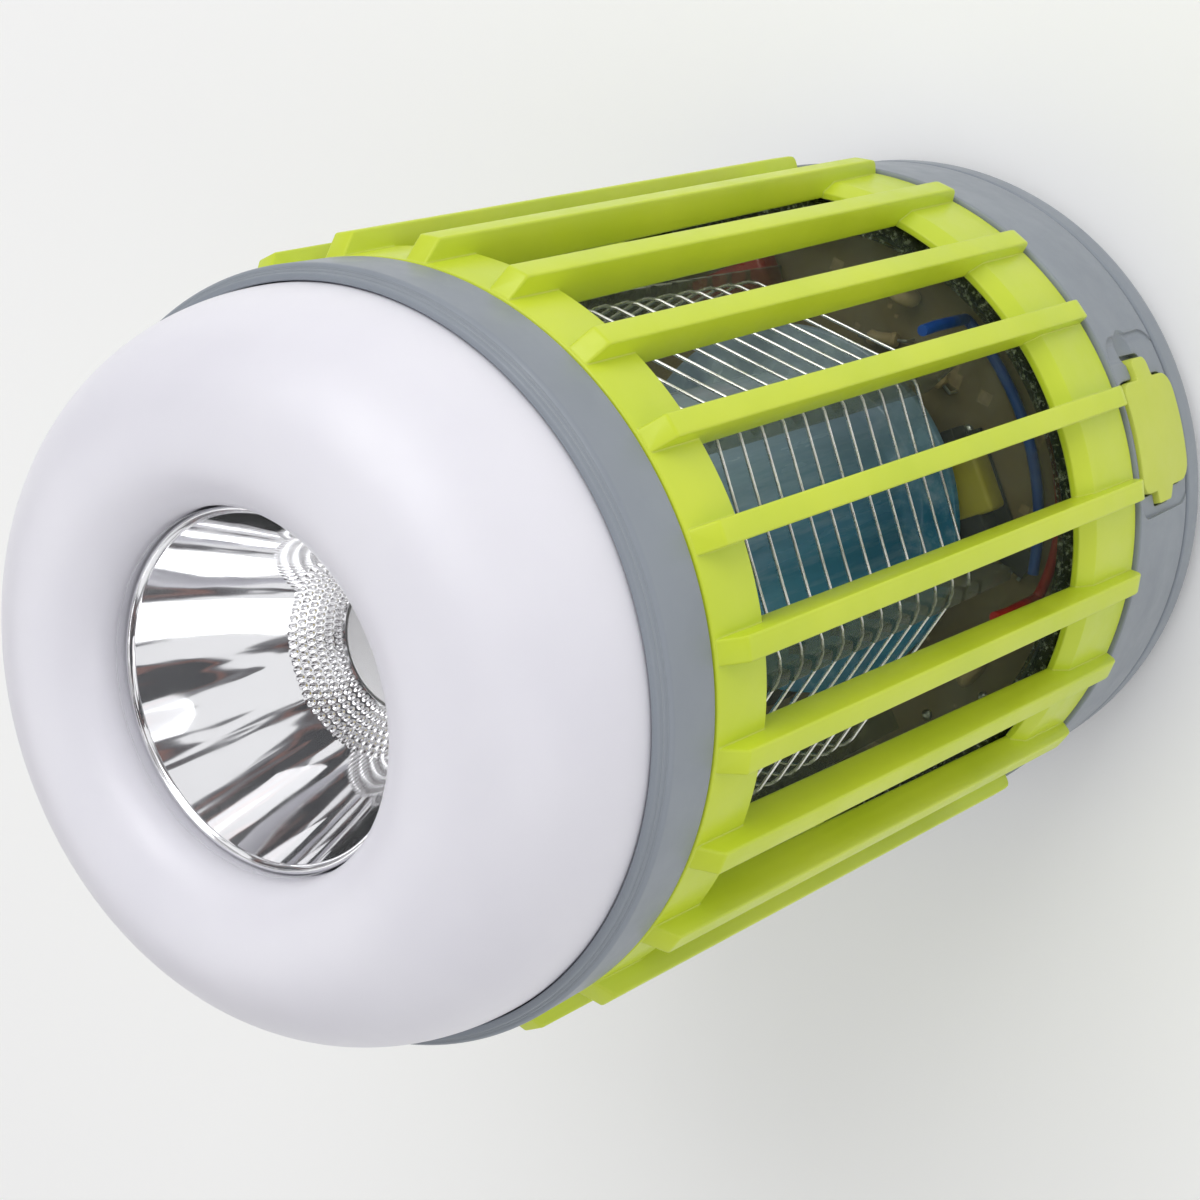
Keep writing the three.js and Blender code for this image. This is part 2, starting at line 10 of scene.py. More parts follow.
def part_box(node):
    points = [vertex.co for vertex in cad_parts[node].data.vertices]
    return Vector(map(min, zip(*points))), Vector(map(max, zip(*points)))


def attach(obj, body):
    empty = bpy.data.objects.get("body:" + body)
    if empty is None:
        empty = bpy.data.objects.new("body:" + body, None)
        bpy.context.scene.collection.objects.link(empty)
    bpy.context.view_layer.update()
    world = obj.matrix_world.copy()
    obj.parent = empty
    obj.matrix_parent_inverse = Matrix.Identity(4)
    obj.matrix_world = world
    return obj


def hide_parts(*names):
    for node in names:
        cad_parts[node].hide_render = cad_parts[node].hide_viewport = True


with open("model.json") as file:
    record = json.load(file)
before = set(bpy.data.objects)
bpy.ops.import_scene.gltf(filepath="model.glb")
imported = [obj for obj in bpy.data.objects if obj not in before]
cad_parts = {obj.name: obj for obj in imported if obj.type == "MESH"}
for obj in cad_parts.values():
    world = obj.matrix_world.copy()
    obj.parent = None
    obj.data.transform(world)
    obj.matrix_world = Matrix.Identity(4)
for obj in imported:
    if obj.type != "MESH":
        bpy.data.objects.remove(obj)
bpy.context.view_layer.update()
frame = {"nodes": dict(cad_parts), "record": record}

# Lengths below are millimetres and angles degrees; meshes are scaled to metres when they are made.
MM = 0.001
ROUND = 192  # segments of the large turned pieces
SMALL = 40  # segments of screws, feet and pins

bodies = frame["record"]["behaviour"]["bodies"]
BODY = {node: body for body, nodes in bodies.items() for node in nodes}


def low(node):
    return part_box(node)[0] / MM


def high(node):
    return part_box(node)[1] / MM


def centre(node):
    return (low(node) + high(node)) / 2


def linked(name, data):
    """A new object in the scene that holds this data."""
    obj = bpy.data.objects.new(name, data)
    bpy.context.scene.collection.objects.link(obj)
    return obj


def rotation(degrees, axis):
    return Matrix.Rotation(math.radians(degrees), 4, axis)


def shift(x, y, z):
    return Matrix.Translation((x, y, z))


CAGE_FOOT = low("cage").z
CAGE_TOP = low("head_ring").z + 3.4  # the collar's skirt reaches this far into the cage
RIB_R = high("cage").x
DOME_R = high("diffuser_dome").x
DOME_TOP = high("diffuser_dome").z
SHOULDER = low("main_board").z - 0.3
BORE_R = high("torch_lens").x + 0.3
LENS_FOOT = low("torch_lens").z
BASE_R = RIB_R - 1.15
FLOOR_TOP = low("uv_tube").z - 0.3


# ---- camera ----
def aim_camera():
    """A short telephoto from 52 degrees above the lamp, rolled so that the dome points left."""
    elevation = 52.05
    roll = math.radians(-108.99)
    distance = 231.9
    pan, tilt = 0.0156, -0.0061
    target = Vector((0, 0, 80.97))
    back = Vector((0, -math.cos(math.radians(elevation)), math.sin(math.radians(elevation))))
    side = Vector((1, 0, 0))
    above = side.cross(-back)
    right = math.cos(roll) * side + math.sin(roll) * above
    upward = math.cos(roll) * above - math.sin(roll) * side
    forward = (pan * right + tilt * upward - back).normalized()
    right = (right - right.dot(forward) * forward).normalized()
    upward = right.cross(forward)
    data = bpy.data.cameras.new("camera")
    data.lens = 65.06
    data.sensor_width = 36
    data.clip_start = 0.01
    camera = linked("camera", data)
    turn = Matrix((right, upward, -forward)).transposed().to_4x4()
    camera.matrix_world = Matrix.Translation((target + distance * back) * MM) @ turn
    bpy.context.scene.camera = camera


aim_camera()


# ---- shader helpers ----
class Shader:
    """A material's node tree, with a Principled surface to start from."""

    def __init__(self, name, colour=(0.8, 0.8, 0.8), **settings):
        self.material = bpy.data.materials.new(name)
        self.material.use_nodes = True
        self.tree = self.material.node_tree
        self.surface = self.tree.nodes["Principled BSDF"]
        self.output = self.tree.nodes["Material Output"]
        self.surface.inputs["Base Color"].default_value = (*colour, 1)
        for socket, value in settings.items():
            self.surface.inputs[socket.replace("_", " ")].default_value = value
        self.place = self.node("ShaderNodeTexCoord").outputs["Object"]

    def node(self, kind, links=None, **settings):
        made = self.tree.nodes.new(kind)
        for key, value in settings.items():
            setattr(made, key, value)
        for socket, value in (links or {}).items():
            if isinstance(value, bpy.types.NodeSocket):
                self.tree.links.new(value, made.inputs[socket])
            else:
                made.inputs[socket].default_value = value
        return made

    def feed(self, socket, value):
        self.tree.links.new(value, self.surface.inputs[socket])

    def stretched(self, scale):
        """Object coordinates scaled by one factor for each axis."""
        return self.node("ShaderNodeMapping", {"Vector": self.place, "Scale": scale}).outputs["Vector"]

    def noise(self, scale, detail=3.0, place=None, roughness=0.5):
        place = place or self.place
        links = {"Vector": place, "Scale": scale, "Detail": detail, "Roughness": roughness}
        return self.node("ShaderNodeTexNoise", links).outputs["Fac"]

    def spread(self, value, low_end, high_end, start=0.35, end=0.65):
        """Maps the useful middle of a pattern to a range of values."""
        source = {"Value": value, "From Min": start, "From Max": end}
        links = {**source, "To Min": low_end, "To Max": high_end}
        return self.node("ShaderNodeMapRange", links).outputs["Result"]

    def mixed(self, factor, first, second):
        made = self.node("ShaderNodeMix", data_type="RGBA")
        sockets = (made.inputs[0], made.inputs[6], made.inputs[7])
        for socket, value in zip(sockets, (factor, first, second)):
            if isinstance(value, bpy.types.NodeSocket):
                self.tree.links.new(value, socket)
            else:
                socket.default_value = (*value, 1) if isinstance(value, tuple) else value
        return made.outputs[2]

    def bump(self, height, distance, normal=None):
        links = {"Height": height, "Distance": distance * MM}
        if normal:
            links["Normal"] = normal
        return self.node("ShaderNodeBump", links).outputs["Normal"]

    def softened(self, radius):
        """The surface normal rounded over edges and inner corners."""
        return self.node("ShaderNodeBevel", {"Radius": radius * MM}, samples=6).outputs["Normal"]

    def edges(self, soft):
        """1 on edges and 0 on open faces, from a softened normal."""
        flat = self.node("ShaderNodeNewGeometry").outputs["Normal"]
        links = {0: soft, 1: flat}
        dot = self.node("ShaderNodeVectorMath", links, operation="DOT_PRODUCT").outputs["Value"]
        return self.spread(dot, 1.0, 0.0, 0.8, 0.995)


def moulded_plastic(name, colour, deep, roughness, soften=0.35, edge_highlight=None, grain=0.006):
    """Moulded plastic: fine spark-eroded grain, faint flow marks and softly rounded edges."""
    shader = Shader(name, colour, Roughness=roughness)
    cloud = shader.noise(55, 4)
    tone = shader.mixed(shader.spread(cloud, 0.0, 1.0), colour, deep)
    soft = shader.softened(soften)
    # Painted highlight: when an edge colour is given, rounded edges are lightened towards it to stand
    # in for light caught on the edges.
    if edge_highlight:
        painted_edge_highlight = shader.spread(shader.edges(soft), 0.0, 0.55, 0.0, 1.0)
        tone = shader.mixed(painted_edge_highlight, tone, edge_highlight)
    shader.feed("Base Color", tone)
    smudges = shader.noise(180, 5, roughness=0.65)
    shader.feed("Roughness", shader.spread(smudges, roughness - 0.05, roughness + 0.09))
    texture = shader.bump(shader.noise(2600, 2), grain, soft)
    shader.feed("Normal", shader.bump(shader.noise(90, 2), 0.03, texture))
    return shader


def clear_plastic(name, tint, milk, clearest, milkiest, scratch=0.02, gloss=0.05):
    """Clear plastic: a tinted view of what is behind, under gloss, haze and fine scratches."""
    shader = Shader(name, milk, Roughness=gloss)
    tree = shader.tree
    haze = shader.noise(260, 5, shader.stretched((1, 1, 0.12)))
    shader.feed("Roughness", shader.spread(haze, gloss, gloss + 0.2))
    streaks = shader.noise(700, 3, shader.stretched((1, 1, 0.06)))
    normal = shader.bump(streaks, scratch)
    shader.feed("Normal", normal)
    through = shader.node("ShaderNodeBsdfTransparent", {"Color": (*tint, 1)}).outputs["BSDF"]
    slant = shader.node("ShaderNodeLayerWeight", {"Blend": 0.5, "Normal": normal})
    facing = slant.outputs["Facing"]
    edge = shader.node("ShaderNodeMath", {0: facing, 1: 4.5}, operation="POWER").outputs[0]
    milky = shader.spread(haze, clearest, milkiest)
    total = shader.node("ShaderNodeMath", {0: edge, 1: milky}, operation="ADD", use_clamp=True)
    links = {"Fac": total.outputs[0], 1: through, 2: shader.surface.outputs["BSDF"]}
    blend = shader.node("ShaderNodeMixShader", links).outputs["Shader"]
    tree.links.new(blend, shader.output.inputs["Surface"])
    return shader


def metal(name, colour, roughness, brushed=None, dents=0.0):
    """Bare metal with fine drawing marks and slight tarnish."""
    shader = Shader(name, colour, Metallic=1.0, Roughness=roughness)
    tarnish = shader.noise(220, 4)
    darker = tuple(0.72 * c for c in colour)
    dull = shader.spread(tarnish, 0.0, 1.0, 0.45, 0.75)
    shader.feed("Base Color", shader.mixed(dull, colour, darker))
    marks = shader.noise(1500, 3, shader.stretched(brushed or (1, 1, 1)))
    shader.feed("Roughness", shader.spread(marks, roughness, roughness + 0.14))
    if dents:
        shader.feed("Normal", shader.bump(marks, dents))
    return shader


def two_tone(name, colour, other, scale, roughness, bump=0.02, **settings):
    """A plain finish that drifts between two colours."""
    shader = Shader(name, colour, Roughness=roughness, **settings)
    drift = shader.noise(scale, 5)
    shader.feed("Base Color", shader.mixed(shader.spread(drift, 0.0, 1.0), colour, other))
    shader.feed("Roughness", shader.spread(drift, roughness - 0.06, roughness + 0.1))
    shader.feed("Normal", shader.bump(shader.noise(scale * 9, 3), bump))
    return shader


# ---- materials ----
def frosted_material():
    """Opal diffuser: scatters light inside, with a satin skin."""
    pearl, paler = (0.755, 0.745, 0.81), (0.785, 0.775, 0.835)
    shader = moulded_plastic("frosted", pearl, paler, 0.38, 0.2, None, 0.002)
    shader.surface.inputs["Subsurface Weight"].default_value = 0.35
    shader.surface.inputs["Subsurface Radius"].default_value = (1.0, 0.95, 1.0)
    shader.surface.inputs["Subsurface Scale"].default_value = 0.0025
    shader.surface.inputs["Coat Weight"].default_value = 0.08
    shader.surface.inputs["Coat Roughness"].default_value = 0.3
    return shader.material


def reflector_material():
    """Vacuum-metallised plastic, nearly a mirror, with faint waves from moulding."""
    shader = Shader("reflector", (0.93, 0.93, 0.935), Metallic=1.0, Roughness=0.03)
    waves = shader.noise(140, 2, shader.stretched((1, 1, 0.35)))
    shader.feed("Roughness", shader.spread(shader.noise(300, 4), 0.015, 0.07))
    shader.feed("Normal", shader.bump(waves, 0.05))
    return shader.material


def board_material():
    """Phenolic circuit board with darker solder tracks."""
    shader = Shader("board", (0.16, 0.125, 0.06), Roughness=0.42)
    links = {"Vector": shader.place, "Scale": 210.0}
    tracks = shader.node("ShaderNodeTexVoronoi", links, distance="MANHATTAN")
    lines = shader.spread(tracks.outputs["Distance"], 0.0, 1.0, 0.28, 0.34)
    cloth = shader.noise(900, 3)
    base = shader.mixed(shader.spread(cloth, 0.0, 1.0), (0.46, 0.34, 0.19), (0.33, 0.24, 0.13))
    shader.feed("Base Color", shader.mixed(lines, base, (0.24, 0.18, 0.09)))
    shader.feed("Roughness", shader.spread(lines, 0.3, 0.5, 0.0, 1.0))
    shader.feed("Normal", shader.bump(lines, 0.04))
    return shader.material


def tube_material():
    """Tinted lamp tube: milky blue with bands and drawing streaks that run along it, and a paler
    grey-blue painted in towards +X as a reflection.
    """
    tint, milk = (0.50, 0.68, 0.78), (0.20, 0.36, 0.46)
    shader = clear_plastic("lamp_tube", tint, milk, 0.58, 0.76, 0.01, 0.12)
    bands = shader.noise(95, 3, shader.stretched((1, 1, 0.10)), 0.6)
    # Painted reflection: towards +X the deep teal turns to a paler grey-blue, which stands in for the
    # sheen on that side.
    upper = shader.node("ShaderNodeSeparateXYZ", {"Vector": shader.place}).outputs["X"]
    turn = shader.spread(upper, 0.0, 1.0, -0.006, 0.012)
    share = shader.spread(bands, 0.0, 1.0, 0.32, 0.68)
    body = shader.mixed(share, (0.04, 0.19, 0.29), (0.085, 0.29, 0.38))
    painted_reflection_tone = shader.mixed(share, (0.21, 0.28, 0.34), (0.36, 0.45, 0.48))
    streaks = shader.noise(420, 5, shader.stretched((1, 1, 0.09)), 0.7)
    colour = shader.mixed(turn, body, painted_reflection_tone)
    pale = shader.spread(streaks, 0.0, 0.32, 0.48, 0.72)
    shader.feed("Base Color", shader.mixed(pale, colour, (0.50, 0.60, 0.62)))
    return shader.material


def rim_material():
    """Clear rim of the chamber floor, rough with moulding grain, with bright flecks painted into its
    colour as glints.
    """
    shader = clear_plastic("sparkle", (0.62, 0.66, 0.60), (0.10, 0.11, 0.09), 0.35, 0.75, 0.0, 0.08)
    grains = shader.noise(1500, 5, roughness=0.7)
    shader.feed("Normal", shader.bump(grains, 0.12))
    # Painted glints: bright flecks in the colour stand in for light sparkling on the rough grain.
    painted_glints = shader.spread(grains, 0.0, 1.0, 0.52, 0.66)
    shader.feed("Base Color", shader.mixed(painted_glints, (0.035, 0.045, 0.03), (0.55, 0.6, 0.5)))
    return shader.material


LIME = (0.60, 0.70, 0.035)
LIME_DEEP = (0.54, 0.655, 0.025)
# Painted highlight colour for the lime edges.
LIME_EDGE_HIGHLIGHT = (0.74, 0.80, 0.18)
GREY = (0.255, 0.285, 0.325)
GREY_DEEP = (0.235, 0.262, 0.30)
# Painted highlight colour for the grey edges.
GREY_EDGE_HIGHLIGHT = (0.42, 0.45, 0.49)
RUBBER_LIME = (0.60, 0.67, 0.09)
RUBBER_DEEP = (0.55, 0.63, 0.07)

lime = moulded_plastic("lime", LIME, LIME_DEEP, 0.36, 0.3, LIME_EDGE_HIGHLIGHT).material
grey = moulded_plastic("grey", GREY, GREY_DEEP, 0.40, 0.3, GREY_EDGE_HIGHLIGHT).material
cover_rubber = moulded_plastic("lime_rubber", RUBBER_LIME, RUBBER_DEEP, 0.5, 0.3, LIME_EDGE_HIGHLIGHT, 0.01)
lime_rubber = cover_rubber.material
frosted = frosted_material()
mirror = reflector_material()
board = board_material()
tube = tube_material()
sparkle = rim_material()
lens = clear_plastic(
    "lens", (0.985, 0.985, 0.99), (0.9, 0.92, 0.94), 0.02, 0.03, 0.003, 0.03,
).material
clear = clear_plastic(
    "clear", (0.90, 0.92, 0.89), (0.42, 0.46, 0.42), 0.03, 0.08, 0.02, 0.05,
).material
post_clear = clear_plastic(
    "post_clear", (0.70, 0.72, 0.66), (0.30, 0.31, 0.26), 0.08, 0.14, 0.012, 0.03,
).material
wire = metal("wire", (0.92, 0.91, 0.88), 0.24, (1, 1, 6)).material
steel = metal("steel", (0.70, 0.70, 0.68), 0.28, (3, 3, 1), 0.01).material
brass = metal("brass", (0.80, 0.60, 0.25), 0.25).material
rubber = two_tone("rubber", (0.022, 0.022, 0.023), (0.035, 0.035, 0.036), 300, 0.75, 0.03).material
white = two_tone("white", (0.78, 0.78, 0.76), (0.72, 0.72, 0.70), 200, 0.42, 0.01).material
bright = two_tone("bright", (0.95, 0.95, 0.95), (0.92, 0.92, 0.92), 200, 0.5, 0.01).material
phosphor = two_tone("phosphor", (0.85, 0.70, 0.16), (0.80, 0.62, 0.12), 900, 0.35, 0.02).material
violet = two_tone("violet", (0.24, 0.19, 0.60), (0.16, 0.12, 0.45), 700, 0.2, 0.01).material
black = two_tone("black", (0.018, 0.018, 0.02), (0.03, 0.03, 0.032), 250, 0.45, 0.02).material
blue_board = two_tone("blue_board", (0.02, 0.11, 0.24), (0.03, 0.16, 0.30), 350, 0.35, 0.02).material
yellow = two_tone("yellow", (0.62, 0.52, 0.05), (0.52, 0.43, 0.04), 240, 0.4, 0.03).material
red = two_tone("red", (0.42, 0.03, 0.02), (0.33, 0.02, 0.015), 260, 0.3, 0.02).material
blue = two_tone("blue", (0.02, 0.10, 0.42), (0.015, 0.07, 0.33), 260, 0.35, 0.02).material
sleeve = two_tone("sleeve", (0.05, 0.17, 0.42), (0.04, 0.13, 0.34), 120, 0.3, 0.02).material
solder = metal("solder", (0.62, 0.62, 0.60), 0.3, None, 0.04).material
tan = two_tone("tan", (0.52, 0.38, 0.20), (0.45, 0.32, 0.16), 300, 0.5, 0.02).material


# ---- mesh helpers ----
def rounded(corners, steps=5):
    """A closed outline; a corner given as (x, y, radius) becomes an arc."""
    outline = []
    for i, corner in enumerate(corners):
        here = Vector(corner[:2])
        if len(corner) < 3:
            outline.append(tuple(here))
            continue
        before = Vector(corners[i - 1][:2]) - here
        after = Vector(corners[(i + 1) % len(corners)][:2]) - here
        half = before.angle(after) / 2
        reach = min(corner[2] / math.tan(half), 0.49 * before.length, 0.49 * after.length)
        inward = (before.normalized() + after.normalized()).normalized()
        middle = here + inward * reach / math.cos(half)
        start = here + before.normalized() * reach - middle
        end = here + after.normalized() * reach - middle
        radius = start.length
        arc = [start.slerp(end, k / steps) * radius for k in range(steps + 1)]
        outline += [tuple(middle + point) for point in arc]
    return outline


def ellipse(middle, across, along, start, end, steps):
    turns = [math.radians(start + (end - start) * k / steps) for k in range(steps + 1)]
    return [(middle[0] + across * math.cos(t), middle[1] + along * math.sin(t)) for t in turns]


def make(name, points, faces, material, angle=35):
    mesh = bpy.data.meshes.new(name)
    mesh.from_pydata([Vector(p) * MM for p in points], [], faces)
    bm = bmesh.new()
    bm.from_mesh(mesh)
    bmesh.ops.recalc_face_normals(bm, faces=bm.faces)
    bm.to_mesh(mesh)
    bm.free()
    obj = linked(name, mesh)
    mesh.materials.append(material)
    return shaded(obj, angle)


def shaded(obj, angle=35):
    obj.data.shade_smooth()
    obj.data.set_sharp_from_angle(angle=math.radians(angle))
    return obj


def turned(name, profile, material, segments=ROUND, angle=35):
    """A closed profile of (radius, height) turned round Z; points on the axis become poles."""
    points, rows = [], []
    for r, z in profile:
        if r < 1e-6:
            rows.append([len(points)] * segments)
            points.append((0, 0, z))
            continue
        rows.append(list(range(len(points), len(points) + segments)))
        turns = [2 * math.pi * k / segments for k in range(segments)]
        points += [(r * math.cos(t), r * math.sin(t), z) for t in turns]
    faces = []
    for i, row in enumerate(rows):
        below = rows[i - 1]
        for k in range(segments):
            corners = [below[k], below[(k + 1) % segments], row[(k + 1) % segments], row[k]]
            face = list(dict.fromkeys(corners))
            if len(face) > 2:
                faces.append(face)
    return make(name, points, faces, material, angle)


def extruded(name, outline, depth, material):
    """An outline in XY raised along Z."""
    n = len(outline)
    points = [(x, y, 0) for x, y in outline] + [(x, y, depth) for x, y in outline]
    faces = [list(range(n)), list(range(n, 2 * n))]
    faces += [[k, (k + 1) % n, n + (k + 1) % n, n + k] for k in range(n)]
    return make(name, points, faces, material)


def block(name, low_corner, high_corner, material):
    (x0, y0, z0), (x1, y1, z1) = low_corner, high_corner
    obj = extruded(name, [(x0, y0), (x1, y0), (x1, y1), (x0, y1)], z1 - z0, material)
    return moved(obj, shift(0, 0, z0))


def moved(obj, matrix):
    """Moves the mesh itself, by a matrix whose lengths are millimetres."""
    scaled = matrix.copy()
    scaled.translation *= MM
    obj.data.transform(scaled)
    return obj


def spun(obj, azimuth):
    return moved(obj, rotation(azimuth, "Z"))


def at(azimuth, radius, z=0.0):
    t = math.radians(azimuth)
    return Vector((radius * math.cos(t), radius * math.sin(t), z))


def baked(obj):
    """Applies the object's modifiers to its mesh."""
    view = bpy.context.evaluated_depsgraph_get()
    mesh = bpy.data.meshes.new_from_object(obj.evaluated_get(view))
    obj.modifiers.clear()
    obj.data = mesh
    return obj


def beveled(obj, width, steps=3, limit=30):
    modifier = obj.modifiers.new("bevel", "BEVEL")
    modifier.width = width * MM
    modifier.segments = steps
    modifier.limit_method = "ANGLE"
    modifier.angle_limit = math.radians(limit)
    return shaded(baked(obj))


def combined(obj, tools, operation="UNION", angle=35):
    """Joins the tools to obj or cuts them from it."""
    for tool in tools:
        modifier = obj.modifiers.new("boolean", "BOOLEAN")
        modifier.operation = operation
        modifier.solver = "MANIFOLD"
        modifier.object = tool
        baked(obj)
        bpy.data.objects.remove(tool)
    return shaded(obj, angle)


def joined(name, objects):
    """One object that holds all the meshes side by side."""
    bm = bmesh.new()
    materials = list(dict.fromkeys(o.data.materials[0] for o in objects))
    for obj in objects:
        start = len(bm.faces)
        bm.from_mesh(obj.data)
        bm.faces.ensure_lookup_table()
        for face in bm.faces[start:]:
            face.material_index = materials.index(obj.data.materials[0])
        bpy.data.objects.remove(obj)
    mesh = bpy.data.meshes.new(name)
    bm.to_mesh(mesh)
    bm.free()
    for material in materials:
        mesh.materials.append(material)
    whole = linked(name, mesh)
    return shaded(whole)


def rod(name, route, radius, material, sides=10, smooth=False):
    """A round bar along a list of points."""
    curve = bpy.data.curves.new(name, "CURVE")
    curve.dimensions = "3D"
    curve.bevel_depth = radius * MM
    curve.bevel_resolution = sides // 4
    curve.use_fill_caps = True
    curve.resolution_u = 6
    spline = curve.splines.new("NURBS" if smooth else "POLY")
    spline.points.add(len(route) - 1)
    for point, place in zip(spline.points, route):
        point.co = (*(Vector(place) * MM), 1)
    if smooth:
        spline.use_endpoint_u = True
        spline.order_u = 3
    curve.materials.append(material)
    obj = linked(name, curve)
    mesh = bpy.data.meshes.new_from_object(obj)
    bpy.data.objects.remove(obj)
    whole = linked(name, mesh)
    return shaded(whole, 60)


def place(obj, node):
    """The piece rides on its CAD node's body, and the CAD node is hidden."""
    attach(obj, BODY[node])
    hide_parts(node)
    return obj


def finish_cad(node, material):
    """A CAD node that is shown as it is, in its own finish."""
    obj = frame["nodes"][node]
    obj.data.materials.clear()
    obj.data.materials.append(material)
    obj.data.shade_smooth()
    obj.data.set_sharp_from_angle(angle=math.radians(30))


# ---- head ----
CREST_R = DOME_R - 12.1
FULLNESS = 2.12  # 2 would make the dome's shoulder an ellipse
LIP_Z = DOME_TOP - 4.2
SEAT_Z = DOME_TOP - 16
PLATE_Z = low("lantern_led_board").z - 0.3


def shoulder(steps):
    """The outer curve of the dome, from its seat up to its crest."""
    power = 2 / FULLNESS
    points = []
    for i in range(steps + 1):
        t = i / steps * math.pi / 2
        across, along = max(math.cos(t), 0) ** power, math.sin(t) ** power
        points.append((CREST_R + (DOME_R - CREST_R) * across, SEAT_Z + (DOME_TOP - SEAT_Z) * along))
    return points


def diffuser_dome():
    """A half doughnut: a full outer shoulder, then a tighter curve down into the bore."""
    foot = low("diffuser_dome").z
    wall = 2.0
    profile = [
        (DOME_R, foot + 0.8),
        *shoulder(48),
        *ellipse((CREST_R, LIP_Z), CREST_R - BORE_R, DOME_TOP - LIP_Z, 90, 180, 22)[1:],
        (BORE_R, foot),
        (BORE_R + wall, foot),
        *ellipse((CREST_R, LIP_Z - 0.6), CREST_R - BORE_R - wall, 2.6, 180, 90, 8),
        *ellipse((CREST_R, SEAT_Z), DOME_R - CREST_R - wall, 13.8, 90, 0, 16)[1:],
        (DOME_R - wall, foot + 0.8),
    ]
    place(turned("diffuser_dome_shell", profile, frosted, 256, 50), "diffuser_dome")


def torch_lens():
    rim = BORE_R - 0.3
    top = high("torch_lens").z
    profile = rounded([(0, LENS_FOOT), (rim, LENS_FOOT, 0.15), (rim, top, 0.35), (0, top)])
    place(turned("torch_lens_glass", profile, lens, 128), "torch_lens")


BOWL_SEGMENTS = 720
BOWL_STEPS = 130
BUMP_ROWS = 6
BUMP_PITCH = 0.78  # height of one row of bumps
BUMPS = 72  # in one row
BUMP_DEPTH = 0.13


def bowl_radius(z, foot, rim):
    """The reflector is a parabola through its hole and its rim."""
    hole_r, rim_r = 7.0, high("torch_reflector").x - 0.6
    return math.sqrt(hole_r**2 + (rim_r**2 - hole_r**2) * (z - foot) / (rim - foot))


def dimple(around, up):
    """Height of the round bumps in the bowl at a place measured in bumps, in staggered rows."""
    row = math.floor(up)
    across = (around + 0.5 * (row % 2)) % 1 - 0.5
    reach = math.hypot(across, up - row - 0.5) / 0.4
    return max(0.0, 1 - reach**2) ** 0.5 if reach < 1 else 0.0


def torch_reflector():
    """A mirror bowl with rows of round bumps above its hole, and a rolled rim."""
    foot, rim = low("torch_reflector").z + 0.3, high("torch_reflector").z
    edge = high("torch_reflector").x
    shares = [(i / BOWL_STEPS) ** 1.9 for i in range(BOWL_STEPS + 1)]
    heights = [foot + (rim - 0.3 - foot) * share for share in shares]
    inner = [(bowl_radius(z, foot, rim), z) for z in heights]
    lip_r = inner[-1][0]
    rest = rounded([(lip_r + 0.05, rim + 0.05, 0.2), (edge, rim + 0.05, 0.25), (edge, rim - 0.5)])
    back = ((15.9, 13.4), (14.0, 8.4), (11.9, 4.4), (9.6, 1.4), (7.9, -0.25))
    rest += [(radius, foot + rise) for radius, rise in back]
    bowl = turned("torch_reflector_bowl", inner + rest, mirror, BOWL_SEGMENTS, 50)
    for i, (radius, z) in enumerate(inner):
        up = (z - foot) / BUMP_PITCH - 0.15
        if not 0 <= up < BUMP_ROWS:
            continue
        for k in range(BOWL_SEGMENTS):
            vertex = bowl.data.vertices[i * BOWL_SEGMENTS + k]
            shrink = 1 - BUMP_DEPTH * dimple(k / BOWL_SEGMENTS * BUMPS, up) / radius
            vertex.co.x *= shrink
            vertex.co.y *= shrink
    place(bowl, "torch_reflector")


def torch_light():
    """The white ring in the bowl's hole, and the chip under a low lens inside it."""
    z = low("led_gasket").z
    profile = rounded([
        (3.2, z),
        (6.6, z, 0.2),
        (6.6, z + 1.1, 0.4),
        (3.6, z + 1.1, 0.4),
        (3.2, z + 0.7),
    ])
    place(turned("led_gasket_ring", profile, bright, 96), "led_gasket")
    z = low("torch_led").z
    lens_arc = ellipse((0, z + 0.6), 1.7, 1.2, 0, 90, 10)
    profile = [(0, z), (2.5, z), (2.5, z + 0.6), (2.0, z + 0.7), *lens_arc]
    place(turned("torch_led_chip", profile, phosphor, 64), "torch_led")


def head_ring():
    """The collar: a sloping land next to the dome, a fine double step, then the outer band."""
    foot, top = CAGE_TOP + 0.3, high("head_ring").z
    inner = DOME_R + 0.12
    plate = PLATE_Z
    skirt = low("head_ring").z
    hole_r, skirt_inner, skirt_outer = 13, 33.2, 34.9
    profile = rounded([
        (37.4, foot, 0.3),
        (37.35, top - 1.3, 0.45),
        (37.0, top - 0.95, 0.12),
        (36.85, top - 1.02, 0.08),
        (36.76, top - 0.62, 0.1),
        (36.6, top - 0.68, 0.08),
        (36.5, top - 0.2, 0.12),
        (inner, top, 0.15),
        (inner, plate),
        (hole_r, plate),
        (hole_r, plate - 1.8),
        (skirt_inner, plate - 1.8),
        (skirt_inner, skirt),
        (skirt_outer, skirt),
        (skirt_outer, foot),
    ])
    place(turned("head_ring_collar", profile, grey, 256, 40), "head_ring")


def cross_screw(name, z, shank):
    """A pan head that faces down, with a cross recess."""
    head_r, shank_r = 2.6, 1.1
    profile = rounded([
        (0, z),
        (head_r, z, 0.6),
        (head_r, z + 1.3),
        (shank_r, z + 1.3),
        (shank_r, z + shank),
        (0, z + shank + 0.6),
    ])
    screw = turned(name, profile, steel, SMALL)
    arms = [
        block("arm", (-1.5, -0.28, z - 1), (1.5, 0.28, z + 0.75), steel),
        block("arm", (-0.28, -1.5, z - 1), (0.28, 1.5, z + 0.75), steel),
    ]
    return combined(screw, arms, "DIFFERENCE")


